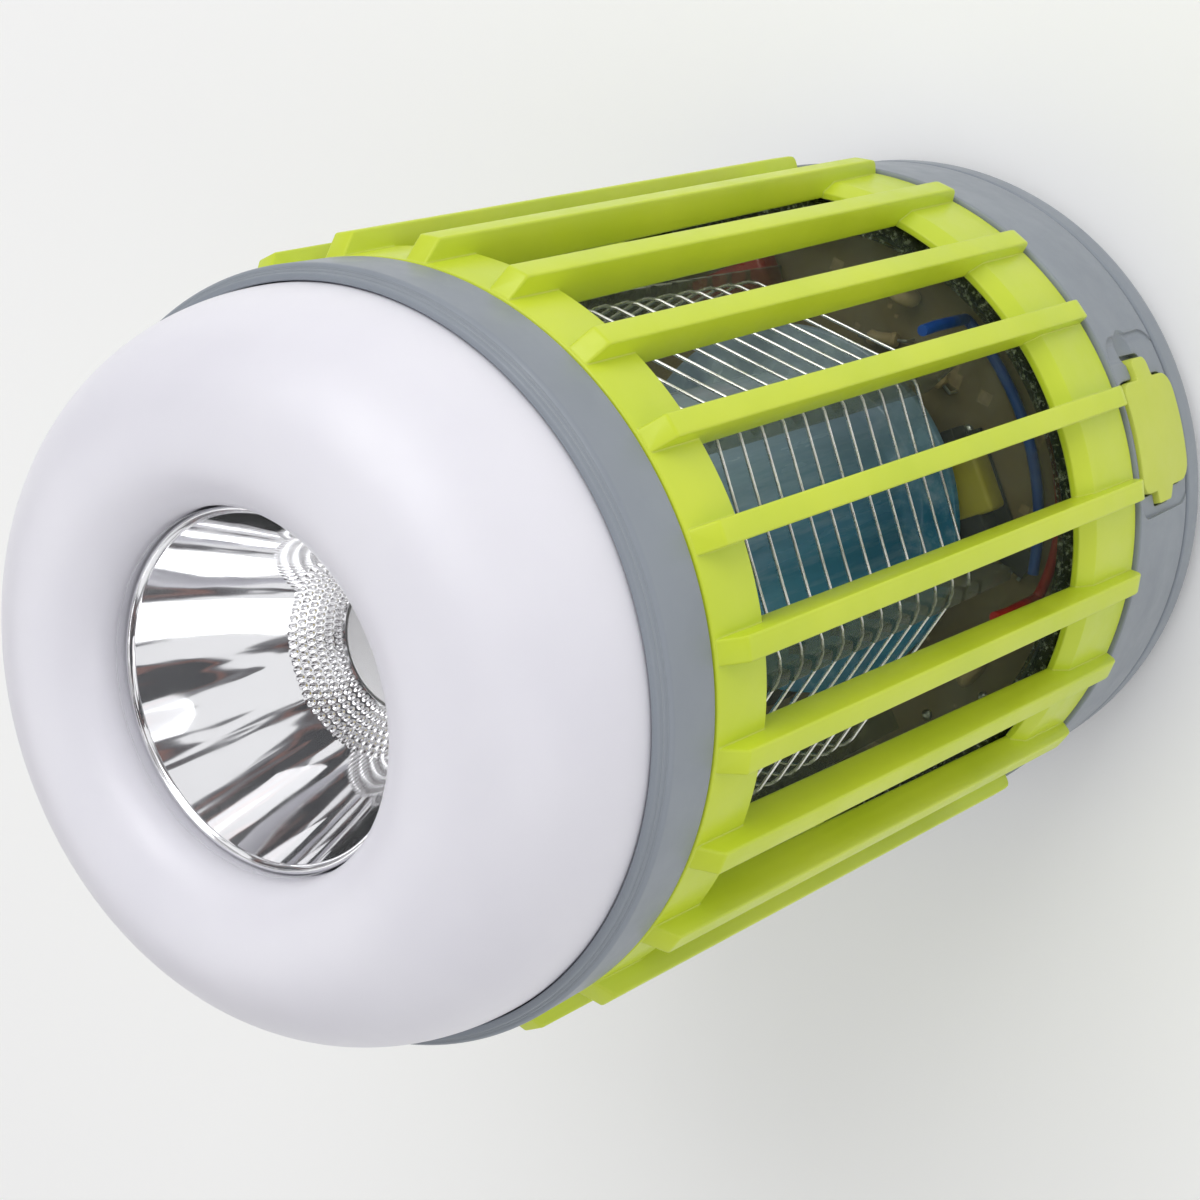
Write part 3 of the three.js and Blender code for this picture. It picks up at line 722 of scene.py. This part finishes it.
def screws(prefix, count):
    for i in range(1, count + 1):
        node = f"{prefix}_{i}"
        middle = centre(node)
        length = high(node).z - low(node).z - 0.6
        screw = cross_screw(f"{node}_cross", low(node).z, length)
        turn = rotation(37 * i, "Z")
        moved(screw, shift(middle.x, middle.y, 0) @ turn)
        place(screw, node)


# ---- cage ----
RIBS = 24
RIB_WIDTH = 2.4
WALL = 2.2
SLOT_FOOT = CAGE_FOOT + 13.1
SLOT_TOP = CAGE_TOP - 7.85
FOOT_WALL = 1.7
CAGE_FOOT_R = RIB_R - 1.65
CAGE_TOP_R = RIB_R - 5.65
LEDGE_R = 29.8  # the ledge inside the cage's head, for the deck
LEDGE_FOOT = 105.3
LEDGE_TOP = 107


def cage_radius(z):
    share = (z - CAGE_FOOT) / (CAGE_TOP - CAGE_FOOT)
    return CAGE_FOOT_R + (CAGE_TOP_R - CAGE_FOOT_R) * share


def cage_rib():
    """A rib's outline in radius and height: chamfered at the head, rounded at the foot."""
    inner_foot = cage_radius(CAGE_FOOT + 1) - FOOT_WALL + 0.1
    inner_head = cage_radius(CAGE_TOP) - WALL + 0.1
    outline = rounded([
        (inner_head, CAGE_TOP - 0.3),
        (inner_foot, CAGE_FOOT + 0.5),
        (RIB_R - 1.5, CAGE_FOOT + 0.3, 0.2),
        (RIB_R - 0.1, CAGE_FOOT + 0.75, 1.0),
        (RIB_R, CAGE_FOOT + 2.1, 1.0),
        (CAGE_TOP_R + 2.2, CAGE_TOP - 2.2, 0.5),
        (CAGE_TOP_R, CAGE_TOP - 0.3),
    ])
    rib = extruded("rib", outline, RIB_WIDTH, lime)
    upright = rotation(90, "X")
    moved(rib, upright @ shift(0, 0, -RIB_WIDTH / 2))
    return beveled(rib, 0.3, 3, 50)


def cage():
    """One moulding: a head ring, a foot ring with a bevel under each slot, and the ribs."""
    top_ring = turned("ring", rounded([
        (cage_radius(SLOT_TOP), SLOT_TOP, 0.25),
        (CAGE_TOP_R, CAGE_TOP, 0.2),
        (CAGE_TOP_R - WALL, CAGE_TOP),
        (cage_radius(LEDGE_TOP) - WALL, LEDGE_TOP),
        (LEDGE_R, LEDGE_TOP),
        (LEDGE_R, LEDGE_FOOT),
        (cage_radius(LEDGE_FOOT) - WALL, LEDGE_FOOT),
        (cage_radius(SLOT_TOP) - WALL, SLOT_TOP, 0.2),
    ]), lime, 240)
    foot_ring = turned("ring", rounded([
        (CAGE_FOOT_R, CAGE_FOOT, 0.3),
        (cage_radius(SLOT_FOOT - 2.4), SLOT_FOOT - 2.4, 0.3),
        (cage_radius(SLOT_FOOT) - 1.0, SLOT_FOOT, 0.12),
        (cage_radius(SLOT_FOOT) - FOOT_WALL, SLOT_FOOT),
        (CAGE_FOOT_R - FOOT_WALL, CAGE_FOOT),
    ]), lime, 240)
    first = cage_rib()
    ribs = []
    for i in range(RIBS):
        copy = linked("rib", first.data.copy())
        ribs.append(spun(copy, 360 / RIBS * i))
    bpy.data.objects.remove(first)
    tabs = [bayonet_tab(azimuth) for azimuth in (60, 180, 300)]
    whole = combined(top_ring, [foot_ring, *ribs, *tabs], "UNION", 32)
    whole.name = "cage_moulding"
    place(whole, "cage")


def bayonet_tab(azimuth):
    """A lug inside the foot ring that slides under the base's ramp."""
    arc = [azimuth - 6 + 2 * k for k in range(7)]
    root, tip = 39.9, 37.8
    outline = [at(a, root).xy for a in arc] + [at(a, tip).xy for a in reversed(arc)]
    tab = extruded("tab", outline, 1.6, lime)
    return moved(tab, shift(0, 0, CAGE_FOOT + 1.8))


# ---- zapping chamber ----
GRID_R = 29.2
GRID_PITCH = 8.6
GRID_TURNS = 6
GRID_FOOT = 41.6
POSTS = 7
POST_STEP = 360 / POSTS
FIRST_POST = -121
WIRE_RADIUS = 0.2
WIRES = (
    ("grid_wire_positive", GRID_FOOT, 0),
    ("grid_wire_negative", GRID_FOOT - GRID_PITCH * 5 / 14, 1),
)
POST_FOOT = low("grid_post_1").z
POST_TOP = high("grid_post_1").z


def grid_route(start, corner):
    """A coil with flat sides whose corners bend over the posts in short arcs."""
    route = []
    bends = (-0.06, -0.035, 0.0, 0.035, 0.06)
    for side in range(GRID_TURNS * POSTS + 1):
        here = FIRST_POST + (side + corner) * POST_STEP
        post = at(here, GRID_R)
        for share in bends:
            if (side == 0 and share < 0) or (side == GRID_TURNS * POSTS and share > 0):
                continue
            other = at(here + math.copysign(POST_STEP, share), GRID_R)
            pull = 0.38 * (1 - abs(share) / 0.06)
            point = post.lerp(other, abs(share)) - at(here, pull)
            point.z = start + GRID_PITCH / POSTS * (side + share)
            route.append(point)
    return route


def grid_wires():
    for name, start, corner in WIRES:
        place(rod(f"{name}_coil", grid_route(start, corner), WIRE_RADIUS, wire, 12), name)


def wire_heights(index):
    """Where both wires pass one post, from the foot up."""
    heights = []
    last = GRID_TURNS * POSTS + 1
    for _, start, corner in WIRES:
        first = (index - corner) % POSTS
        heights += [start + GRID_PITCH / POSTS * k for k in range(first, last, POSTS)]
    return sorted(heights)


def grid_post(index):
    """A clear comb: notches at its edge hold the wires, with a row of round holes behind them."""
    inner, outer, half = 24.4, 30.2, 0.8
    notch_x, hole_x = 29.6, 26.6
    blade = block("blade", (inner, -half, POST_FOOT), (outer, half, POST_TOP), post_clear)
    blade = beveled(blade, 0.2, 2)
    tools = []
    for k, height in enumerate(wire_heights(index)):
        tools.append(crosswise("notch", notch_x, height, 0.75))
        if k % 2 == 0:
            tools.append(crosswise("hole", hole_x, height + 1.4, 0.8))
    comb = combined(blade, tools, "DIFFERENCE")
    comb.name = f"grid_post_{index + 1}_comb"
    spun(comb, FIRST_POST + index * POST_STEP)
    place(comb, f"grid_post_{index + 1}")


def crosswise(name, x, z, radius):
    """A short cylinder along Y."""
    tool = turned(name, [(0, -2), (radius, -2), (radius, 2), (0, 2)], post_clear, 16)
    turn = rotation(90, "X")
    return moved(tool, shift(x, 0, z) @ turn)


def uv_lamp():
    """A flared tube over a six-sided sleeve of boards, which carries the violet chips."""
    foot, top = low("uv_tube").z, high("uv_tube").z
    outer = 17.5
    profile = rounded([
        (23.2, foot, 0.3), (23.2, foot + 1.3, 0.4), (19.2, foot + 1.9, 0.6),
        (outer, foot + 4.2, 1.5), (outer, top, 0.3), (outer - 1.6, top), (outer - 1.6, foot),
    ])
    place(turned("uv_tube_shell", profile, tube, 128), "uv_tube")
    sleeve_r, inner_r = 10.5, 9.3
    z0, z1 = low("uv_board").z, high("uv_board").z
    outline = [at(60 * k, sleeve_r).xy for k in range(6)]
    hollow = [at(60 * k, inner_r).xy for k in range(6)]
    body = extruded("sleeve", outline, z1 - z0, blue_board)
    moved(body, shift(0, 0, z0))
    hole = extruded("hole", hollow, z1 - z0 + 4, blue_board)
    moved(hole, shift(0, 0, z0 - 2))
    combined(body, [hole], "DIFFERENCE")
    body.name = "uv_board_sleeve"
    place(body, "uv_board")
    for i in range(1, 4):
        node = f"uv_led_{i}"
        chip = beveled(block(f"{node}_chip", low(node), high(node), violet), 0.3, 2)
        place(chip, node)


def chamber_floor():
    """The clear floor has a deep rim that fills the foot of the cage."""
    foot = low("floor_window").z
    rim_top = high("floor_window").z
    neck = high("base_housing").z
    plug_r, rim_r, hole_r = 35.1, 38.2, 6
    profile = rounded([
        (plug_r, foot),
        (plug_r, neck + 0.3),
        (rim_r, neck + 0.3),
        (rim_r, rim_top, 0.5),
        (36.6, rim_top, 0.4),
        (36.2, FLOOR_TOP, 0.4),
        (hole_r, FLOOR_TOP),
        (hole_r, foot),
    ])
    plate = turned("floor_window_plate", profile, clear, 192)
    plate.data.materials.append(sparkle)
    clear_reach = 36.0 * MM
    for polygon in plate.data.polygons:
        if polygon.center.xy.length > clear_reach:
            polygon.material_index = 1
    place(plate, "floor_window")


def top_plate():
    """A clear disc on the posts, whose plug centres the tube."""
    foot, top = 98.6, high("grid_top_plate").z
    plug = low("grid_top_plate").z
    plug_r, disc_r = 15.5, 31
    profile = rounded([
        (0, plug),
        (plug_r, plug, 0.4),
        (plug_r, foot),
        (disc_r, foot, 0.3),
        (disc_r, top, 0.3),
        (0, top),
    ])
    place(turned("grid_top_plate_disc", profile, clear, 128), "grid_top_plate")


# Each lead's node, where it rises, how far round it runs, at what radius it starts, and its colour.
LEADS = (
    ("hv_lead_red", -127.5, -40.0, 33.6, red),
    ("hv_lead_blue", -63.1, 60.0, 30.6, blue),
)
LEAD_RADIUS = 0.68


def lead_route(azimuth, sweep, run):
    """Over the board, up through the floor, and along a post to the wire."""
    rise_r = 32.2
    board_z = high("main_board").z + 1.5
    route = []
    for i in range(9):
        share = i / 8
        lift = 0.8 * max(0.0, share - 0.6) / 0.4
        radius = run + (rise_r - run) * share**3
        route.append(at(azimuth - sweep * (1 - share), radius, board_z + lift))
    route += [at(azimuth, rise_r, z) for z in (board_z + 2.4, 31, 34, 36.5)]
    route.append(at(azimuth, rise_r * 0.993, GRID_FOOT - 3.6))
    route.append(at(azimuth, rise_r * 0.99, GRID_FOOT - 2.2))
    return route


def leads():
    for node, azimuth, sweep, run, material in LEADS:
        route = lead_route(azimuth, sweep, run)
        place(rod(f"{node}_wire", route, LEAD_RADIUS, material, 12, smooth=True), node)


# ---- circuit board ----
BOARD_TOP = high("main_board").z


def circuit_board():
    foot = low("main_board").z
    profile = rounded([(0, foot), (35, foot, 0.2), (35, BOARD_TOP, 0.2), (0, BOARD_TOP)])
    place(turned("main_board_disc", profile, board, 128), "main_board")


def on_board(obj, x, y, turn=0.0, z=BOARD_TOP):
    return moved(obj, shift(x, y, z) @ rotation(turn, "Z"))


def resistor(x, y, turn):
    """A banded body lying on the board with its two legs bent down."""
    half = [(0.82, 0.9), (1.0, 1.5), (0.8, 1.9), (0, 2)]
    body = turned("body", [(r, -x) for r, x in reversed(half)] + half, tan, 20)
    moved(body, shift(0, 0, 1.8) @ rotation(90, "Y"))
    legs = rod("legs", [(-3.2, 0, 0), (-3.2, 0, 1.8), (3.2, 0, 1.8), (3.2, 0, 0)], 0.22, solder, 8)
    return [on_board(body, x, y, turn), on_board(legs, x, y, turn)]


def disc_capacitor(x, y, turn):
    profile = rounded([(0, -0.9), (2.1, -0.9, 0.8), (2.1, 0.9, 0.8), (0, 0.9)])
    body = turned("body", profile, tan, 28)
    moved(body, shift(0, 0, 2.6) @ rotation(90, "X"))
    return [on_board(body, x, y, turn)]


def can_capacitor(x, y, radius):
    top = 4.6
    profile = rounded([
        (0, 0),
        (radius, 0, 0.2),
        (radius, top, 0.35),
        (radius - 0.5, top, 0.1),
        (0, top - 0.15),
    ])
    return [on_board(turned("can", profile, black, 28), x, y)]


def chip(x, y, turn):
    body = beveled(block("chip", (-2.4, -1.7, 0.3), (2.4, 1.7, 1.6), black), 0.15, 2)
    pieces = [body]
    for k in range(4):
        step = k * 1.27
        pieces.append(block("leg", (-2.0 + step, -2.7, 0), (-1.6 + step, 2.7, 0.35), solder))
    return [on_board(piece, x, y, turn) for piece in pieces]


def solder_dots():
    """Joints scattered over the board, clear of its edge."""
    draw = random.Random(7)
    dots = []
    for _ in range(46):
        arc = ellipse((0, 0), draw.uniform(0.5, 0.9), 0.5, 0, 90, 4)
        dot = turned("dot", [(0, 0), *arc], solder, 12)
        dots.append(on_board(dot, *at(draw.uniform(0, 360), draw.uniform(9, 33.5)).xy))
    return dots


# Where the small parts stand on the board: x, y, and a turn or a radius.
RESISTORS = (
    (10, -22, 20), (16, -17, 65), (-16, -10, 100), (20, 12, 140), (-11, 22, 15), (4, -15, 160),
)
DISCS = ((20, -22, 40), (-22, -3, 80), (12, 20, 10), (-26, -14, 120))
CANS = ((-20, 14, 3.2), (2, 26, 2.5), (14, -8, 2.5))
CHIPS = ((-4, 12, 0), (-14, -24, 35))


def board_parts():
    pieces = solder_dots()
    kinds = ((resistor, RESISTORS), (disc_capacitor, DISCS), (can_capacitor, CANS), (chip, CHIPS))
    for kind, spots in kinds:
        for spot in spots:
            pieces += kind(*spot)
    whole = joined("main_board_parts", pieces)
    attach(whole, "base")


def transformer():
    """A yellow taped bobbin between two halves of a dark core."""
    x, y, _ = centre("hv_transformer")
    foot, top = low("hv_transformer").z, high("hv_transformer").z
    tape = beveled(block("tape", (-3.5, -4.3, 0.4), (3.5, 4.3, top - foot - 0.3), yellow), 0.6, 3)
    core = []
    for x_mid in (-5.5, 5.5):
        half = block("core", (x_mid - 1.9, -2.5, 0.6), (x_mid + 1.9, 2.5, 4.0), black)
        core.append(beveled(half, 0.25, 2))
    bobbin = beveled(block("bobbin", (-6.4, -4.4, 0), (6.4, 4.4, 0.8), black), 0.2, 2)
    cap = beveled(block("cap", (-6.0, -2.4, 3.2), (6.0, 2.4, 4.1), black), 0.25, 2)
    pieces = [tape, *core, bobbin, cap]
    for piece in pieces:
        on_board(piece, x, y, 0, foot)
    place(joined("hv_transformer_coil", pieces), "hv_transformer")


def film_capacitor():
    body = block("hv_capacitor_body", low("hv_capacitor"), high("hv_capacitor"), red)
    place(beveled(body, 0.9, 4), "hv_capacitor")


# ---- base ----
USB_AZIMUTH = -97.6
USB_Z = 15.4
FACING_PORT = rotation(USB_AZIMUTH + 90, "Z")
BUTTON_Z = centre("power_button").z
BUTTON_R = 4.6


def port_outline(grow):
    """The port cover from outside: a rounded block with a tether tab and a pull tab."""
    wide, tall, tab = 6.7 + grow, 7.2 + grow, 2.2 + grow
    tip, pull = 9.3 + 2 * grow, 8.3 + grow
    return rounded([
        (-wide, -tall, 2.2),
        (wide, -tall, 2.2),
        (wide, -tab, 0.4),
        (tip, -tab, 1.1),
        (tip, tab, 1.1),
        (wide, tab, 0.4),
        (wide, tall, 2.2),
        (-wide, tall, 2.2),
        (-wide, 3 + grow, 0.3),
        (-pull, 2.4 + grow, 0.5),
        (-pull, -1.4 - grow, 0.5),
        (-wide, -2 - grow, 0.3),
    ])


def port_block(name, outline, inner, outer, material):
    """An outline that faces the port, cut to a band of radii."""
    body = extruded(name, outline, 10, material)
    moved(body, shift(0, -35, USB_Z) @ rotation(90, "X"))
    band = turned("band", [(outer, 3), (outer, 28), (inner, 28), (inner, 3)], material, 720)
    body = combined(body, [band], "INTERSECT")
    return moved(body, FACING_PORT)


def backward(name, radius, y0, y1, z, material):
    """A cylinder along +Y."""
    tool = turned(name, [(0, y0), (radius, y0), (radius, y1), (0, y1)], material, 64)
    return moved(tool, shift(0, 0, z) @ rotation(-90, "X"))


NECK_R = 37.4  # the neck that the cage turns on
NECK_INNER_R = 35.4
CASING_INNER_R = 39.3
ROOF_HOLE_R = 33
ROOF_FOOT = 22


def base_housing():
    """The casing, with a shallow recess round the port cover and a thumb dimple at its tether."""
    foot, neck = low("base_housing").z, high("base_housing").z
    body = turned("base_housing_shell", rounded([
        (BASE_R - 1.0, foot, 0.15),
        (BASE_R - 0.42, foot + 0.55, 0.35),
        (BASE_R, SHOULDER - 0.1, 0.4),
        (BASE_R - 0.5, SHOULDER, 0.15),
        (NECK_R, SHOULDER, 0.15),
        (NECK_R, neck, 0.3),
        (NECK_INNER_R, neck, 0.3),
        (NECK_INNER_R, SHOULDER),
        (ROOF_HOLE_R, SHOULDER),
        (ROOF_HOLE_R, ROOF_FOOT),
        (CASING_INNER_R, ROOF_FOOT),
        (CASING_INNER_R, foot),
    ]), grey, 256, 40)
    recess = rounded([(-9.6, -8.5, 3.0), (12.4, -8.5, 4.0), (12.4, 8.2, 4.0), (-9.6, 8.2, 3.0)], 8)
    outside = 44  # a radius past the casing
    mouth = block("mouth", (-4.5, -41, USB_Z - 1.9), (4.5, -38.5, USB_Z + 1.9), grey)
    tools = [
        port_block("recess", recess, BASE_R - 0.62, outside, grey),
        port_block("pocket", port_outline(0.22), BASE_R - 1.8, outside, grey),
        moved(mouth, FACING_PORT),
        backward("well", BUTTON_R + 0.35, 36, outside, BUTTON_Z, grey),
        thumb_dimple(),
    ]
    combined(body, tools, "DIFFERENCE", 40)
    place(body, "base_housing")


def thumb_dimple():
    """A ball that takes a shallow scoop out of the casing beside the tether."""
    reach = 3.4
    arc = ellipse((0, 0), reach, reach, -90, 90, 24)
    ball = turned("dimple", [(abs(r), z) for r, z in arc], grey, 48)
    spot = at(USB_AZIMUTH + 14.6, BASE_R + reach - 1.5, USB_Z + 1.2)
    return moved(ball, Matrix.Translation(spot))


def port_cover():
    outline = port_outline(-0.05)
    cover = port_block("usb_cover_flap", outline, BASE_R - 1.45, BASE_R + 0.05, lime_rubber)
    place(beveled(cover, 0.35, 4, 40), "usb_cover")


def rimmed_button():
    """A soft button with a raised rim round its face, and a flange behind the casing."""
    tip = high("power_button").y
    profile = rounded([
        (0, 37.4),
        (BUTTON_R, 37.4),
        (BUTTON_R, tip - 0.1, 0.5),
        (BUTTON_R - 0.9, tip, 0.3),
        (BUTTON_R - 1.3, tip - 0.35, 0.2),
        (0, tip - 0.3),
    ])
    cap = turned("cap", profile, lime_rubber, 96)
    flange = turned("flange", [(0, 37), (5.6, 37), (5.6, 38.4), (0, 38.4)], lime_rubber, 96)
    button = joined("power_button_cap", [cap, flange])
    moved(button, shift(0, 0, BUTTON_Z) @ rotation(-90, "X"))
    place(button, "power_button")


BAIL_R = 31.0
BAIL_WIRE_RADIUS = 0.95
GROOVE_DEPTH = 3.15


def bail_groove():
    """A trench along the folded bail, a little longer than its half circle."""
    steps = 60
    half_width = 1.6
    turns = [-3 + 186 * k / steps for k in range(steps + 1)]
    outline = [at(t, BAIL_R + half_width).xy for t in turns]
    outline += [at(t, BAIL_R - half_width).xy for t in reversed(turns)]
    trench = extruded("groove", outline, GROOVE_DEPTH + 2, grey)
    return moved(trench, shift(0, 0, -2))


def base_cover():
    """The bottom dish, with seats for feet and screws and a groove for the folded bail."""
    foot, top = low("base_cover").z, high("base_cover").z
    rim_r, plate = 41.5, 3.5
    body = turned("base_cover_dish", rounded([
        (0, foot),
        (38.6, foot, 1.5),
        (40.6, foot + 0.7, 1.6),
        (rim_r, foot + 2.6, 2.0),
        (rim_r, top, 0.35),
        (38.9, top),
        (38.9, foot + plate),
        (0, foot + plate),
    ]), grey, 256, 40)
    tools = [bail_groove()]
    for x in (-31.8, 31.8):
        tools.append(block("socket", (x - 1.8, -1.3, -1), (x + 1.8, 1.3, GROOVE_DEPTH), grey))
    tools.append(beveled(block("notch", (-8, 24.5, -2), (8, 33.5, GROOVE_DEPTH), grey), 1.2, 4))
    for prefix, reach in (("foot", 1.9), ("base_screw", 2.7)):
        for i in range(1, 5):
            spot = centre(f"{prefix}_{i}")
            seat = turned("seat", [(0, -1), (2.9, -1), (2.9, reach), (0, reach)], grey, SMALL)
            tools.append(moved(seat, shift(spot.x, spot.y, 0)))
    combined(body, tools, "DIFFERENCE", 40)
    place(body, "base_cover")


def rubber_feet():
    for i in range(1, 5):
        node = f"foot_{i}"
        spot, top = centre(node), high(node).z
        profile = rounded([
            (0, 0.12),
            (0.9, 0.12, 0.2),
            (1.4, 0, 0.2),
            (2.6, 0, 0.45),
            (2.6, top),
            (0, top),
        ])
        foot = turned(f"{node}_pad", profile, rubber, SMALL)
        place(moved(foot, shift(spot.x, spot.y, 0)), node)


def bail():
    """A hoop of wire whose ends turn out into the base."""
    z = centre("hook_bail").z
    hoop = [at(180 * k / 48, BAIL_R, z) for k in range(1, 48)]
    ends = high("hook_bail").x
    bend = BAIL_R + 0.6
    route = [(ends, 0, z), (bend, 0, z), *hoop, (-bend, 0, z), (-ends, 0, z)]
    place(rod("hook_bail_wire", route, BAIL_WIRE_RADIUS, wire, 16), "hook_bail")


def sealed_pieces():
    """What the casings hide keeps its CAD shape."""
    finishes = {
        "torch_led_board": white, "lantern_led_board": white, "head_seal": rubber,
        "head_deck": grey, "cage_seal": rubber, "contact_pin_1": brass, "contact_pin_2": brass,
        "battery_cell": sleeve, "battery_holder": black, "usb_socket": steel,
        "tactile_switch": black,
    }
    finishes.update({f"lantern_led_{i}": phosphor for i in range(1, 6)})
    for node, material in finishes.items():
        finish_cad(node, material)


# ---- stage ----
def floor():
    """A pale floor under the feet that the studio light washes out."""
    sheet = bpy.data.meshes.new("floor")
    reach, z = 3.0, -0.0003  # in metres
    signs = ((-1, -1), (1, -1), (1, 1), (-1, 1))
    corners = [(x * reach, y * reach, z) for x, y in signs]
    sheet.from_pydata(corners, [], [(0, 1, 2, 3)])
    sheet.materials.append(Shader("floor", (0.97, 0.97, 0.97), Roughness=0.8).material)
    obj = linked("floor", sheet)


def softbox(name, position, size, power):
    """A rectangular lamp that faces the middle of the object; its lengths are metres."""
    target = Vector((0, 0, 0.07))
    light = bpy.data.lights.new(name, "AREA")
    light.shape = "RECTANGLE"
    light.size, light.size_y = size
    light.energy = power
    obj = linked(name, light)
    obj.location = position
    obj.rotation_mode = "QUATERNION"
    obj.rotation_quaternion = (target - Vector(position)).to_track_quat("-Z", "Y")


def studio():
    """Even white light; glossy surfaces reflect a room with dark patches."""
    world = bpy.data.worlds.new("studio")
    bpy.context.scene.world = world
    world.use_nodes = True
    tree = world.node_tree
    tree.nodes.clear()
    add = tree.nodes.new
    where = add("ShaderNodeTexCoord")
    path = add("ShaderNodeLightPath")
    output = add("ShaderNodeOutputWorld")
    stretch = add("ShaderNodeMapping")
    noise = add("ShaderNodeTexNoise")
    ramp = add("ShaderNodeValToRGB")
    even = add("ShaderNodeBackground")
    room = add("ShaderNodeBackground")
    choose = add("ShaderNodeMixShader")
    stretch.inputs["Scale"].default_value = (1.0, 1.0, 0.25)
    noise.inputs["Scale"].default_value = 2.3
    noise.inputs["Detail"].default_value = 2.5
    noise.inputs["Distortion"].default_value = 0.6
    ramp.color_ramp.elements[0].position = 0.42
    ramp.color_ramp.elements[0].color = (0.02, 0.02, 0.024, 1)
    ramp.color_ramp.elements[1].position = 0.52
    ramp.color_ramp.elements[1].color = (1, 1, 1, 1)
    between = ((0.445, (0.22, 0.10, 0.08)), (0.46, (0.06, 0.05, 0.055)), (0.50, (0.2, 0.2, 0.21)))
    for position, colour in between:
        ramp.color_ramp.elements.new(position).color = (*colour, 1)
    even.inputs["Color"].default_value = (1, 1, 1, 1)
    even.inputs["Strength"].default_value = 0.60
    room.inputs["Strength"].default_value = 1.0
    link = tree.links.new
    link(where.outputs["Generated"], stretch.inputs["Vector"])
    link(stretch.outputs["Vector"], noise.inputs["Vector"])
    link(noise.outputs["Fac"], ramp.inputs["Fac"])
    link(ramp.outputs["Color"], room.inputs["Color"])
    link(path.outputs["Is Glossy Ray"], choose.inputs["Fac"])
    link(even.outputs["Background"], choose.inputs[1])
    link(room.outputs["Background"], choose.inputs[2])
    link(choose.outputs["Shader"], output.inputs["Surface"])


def lights():
    softbox("key", (0.55, -0.35, 0.7), (0.6, 0.6), 3.6)
    softbox("fill", (-0.5, -0.6, 0.5), (0.5, 0.5), 0.9)
    softbox("back", (0.1, 0.8, 0.6), (0.6, 0.4), 0.8)
    bpy.context.scene.view_settings.view_transform = "Standard"


diffuser_dome()
torch_lens()
torch_reflector()
torch_light()
head_ring()
screws("head_screw", 3)
cage()
grid_wires()
for post in range(POSTS):
    grid_post(post)
uv_lamp()
chamber_floor()
top_plate()
leads()
circuit_board()
board_parts()
transformer()
film_capacitor()
base_housing()
port_cover()
rimmed_button()
base_cover()
screws("base_screw", 4)
rubber_feet()
bail()
sealed_pieces()
floor()
studio()
lights()
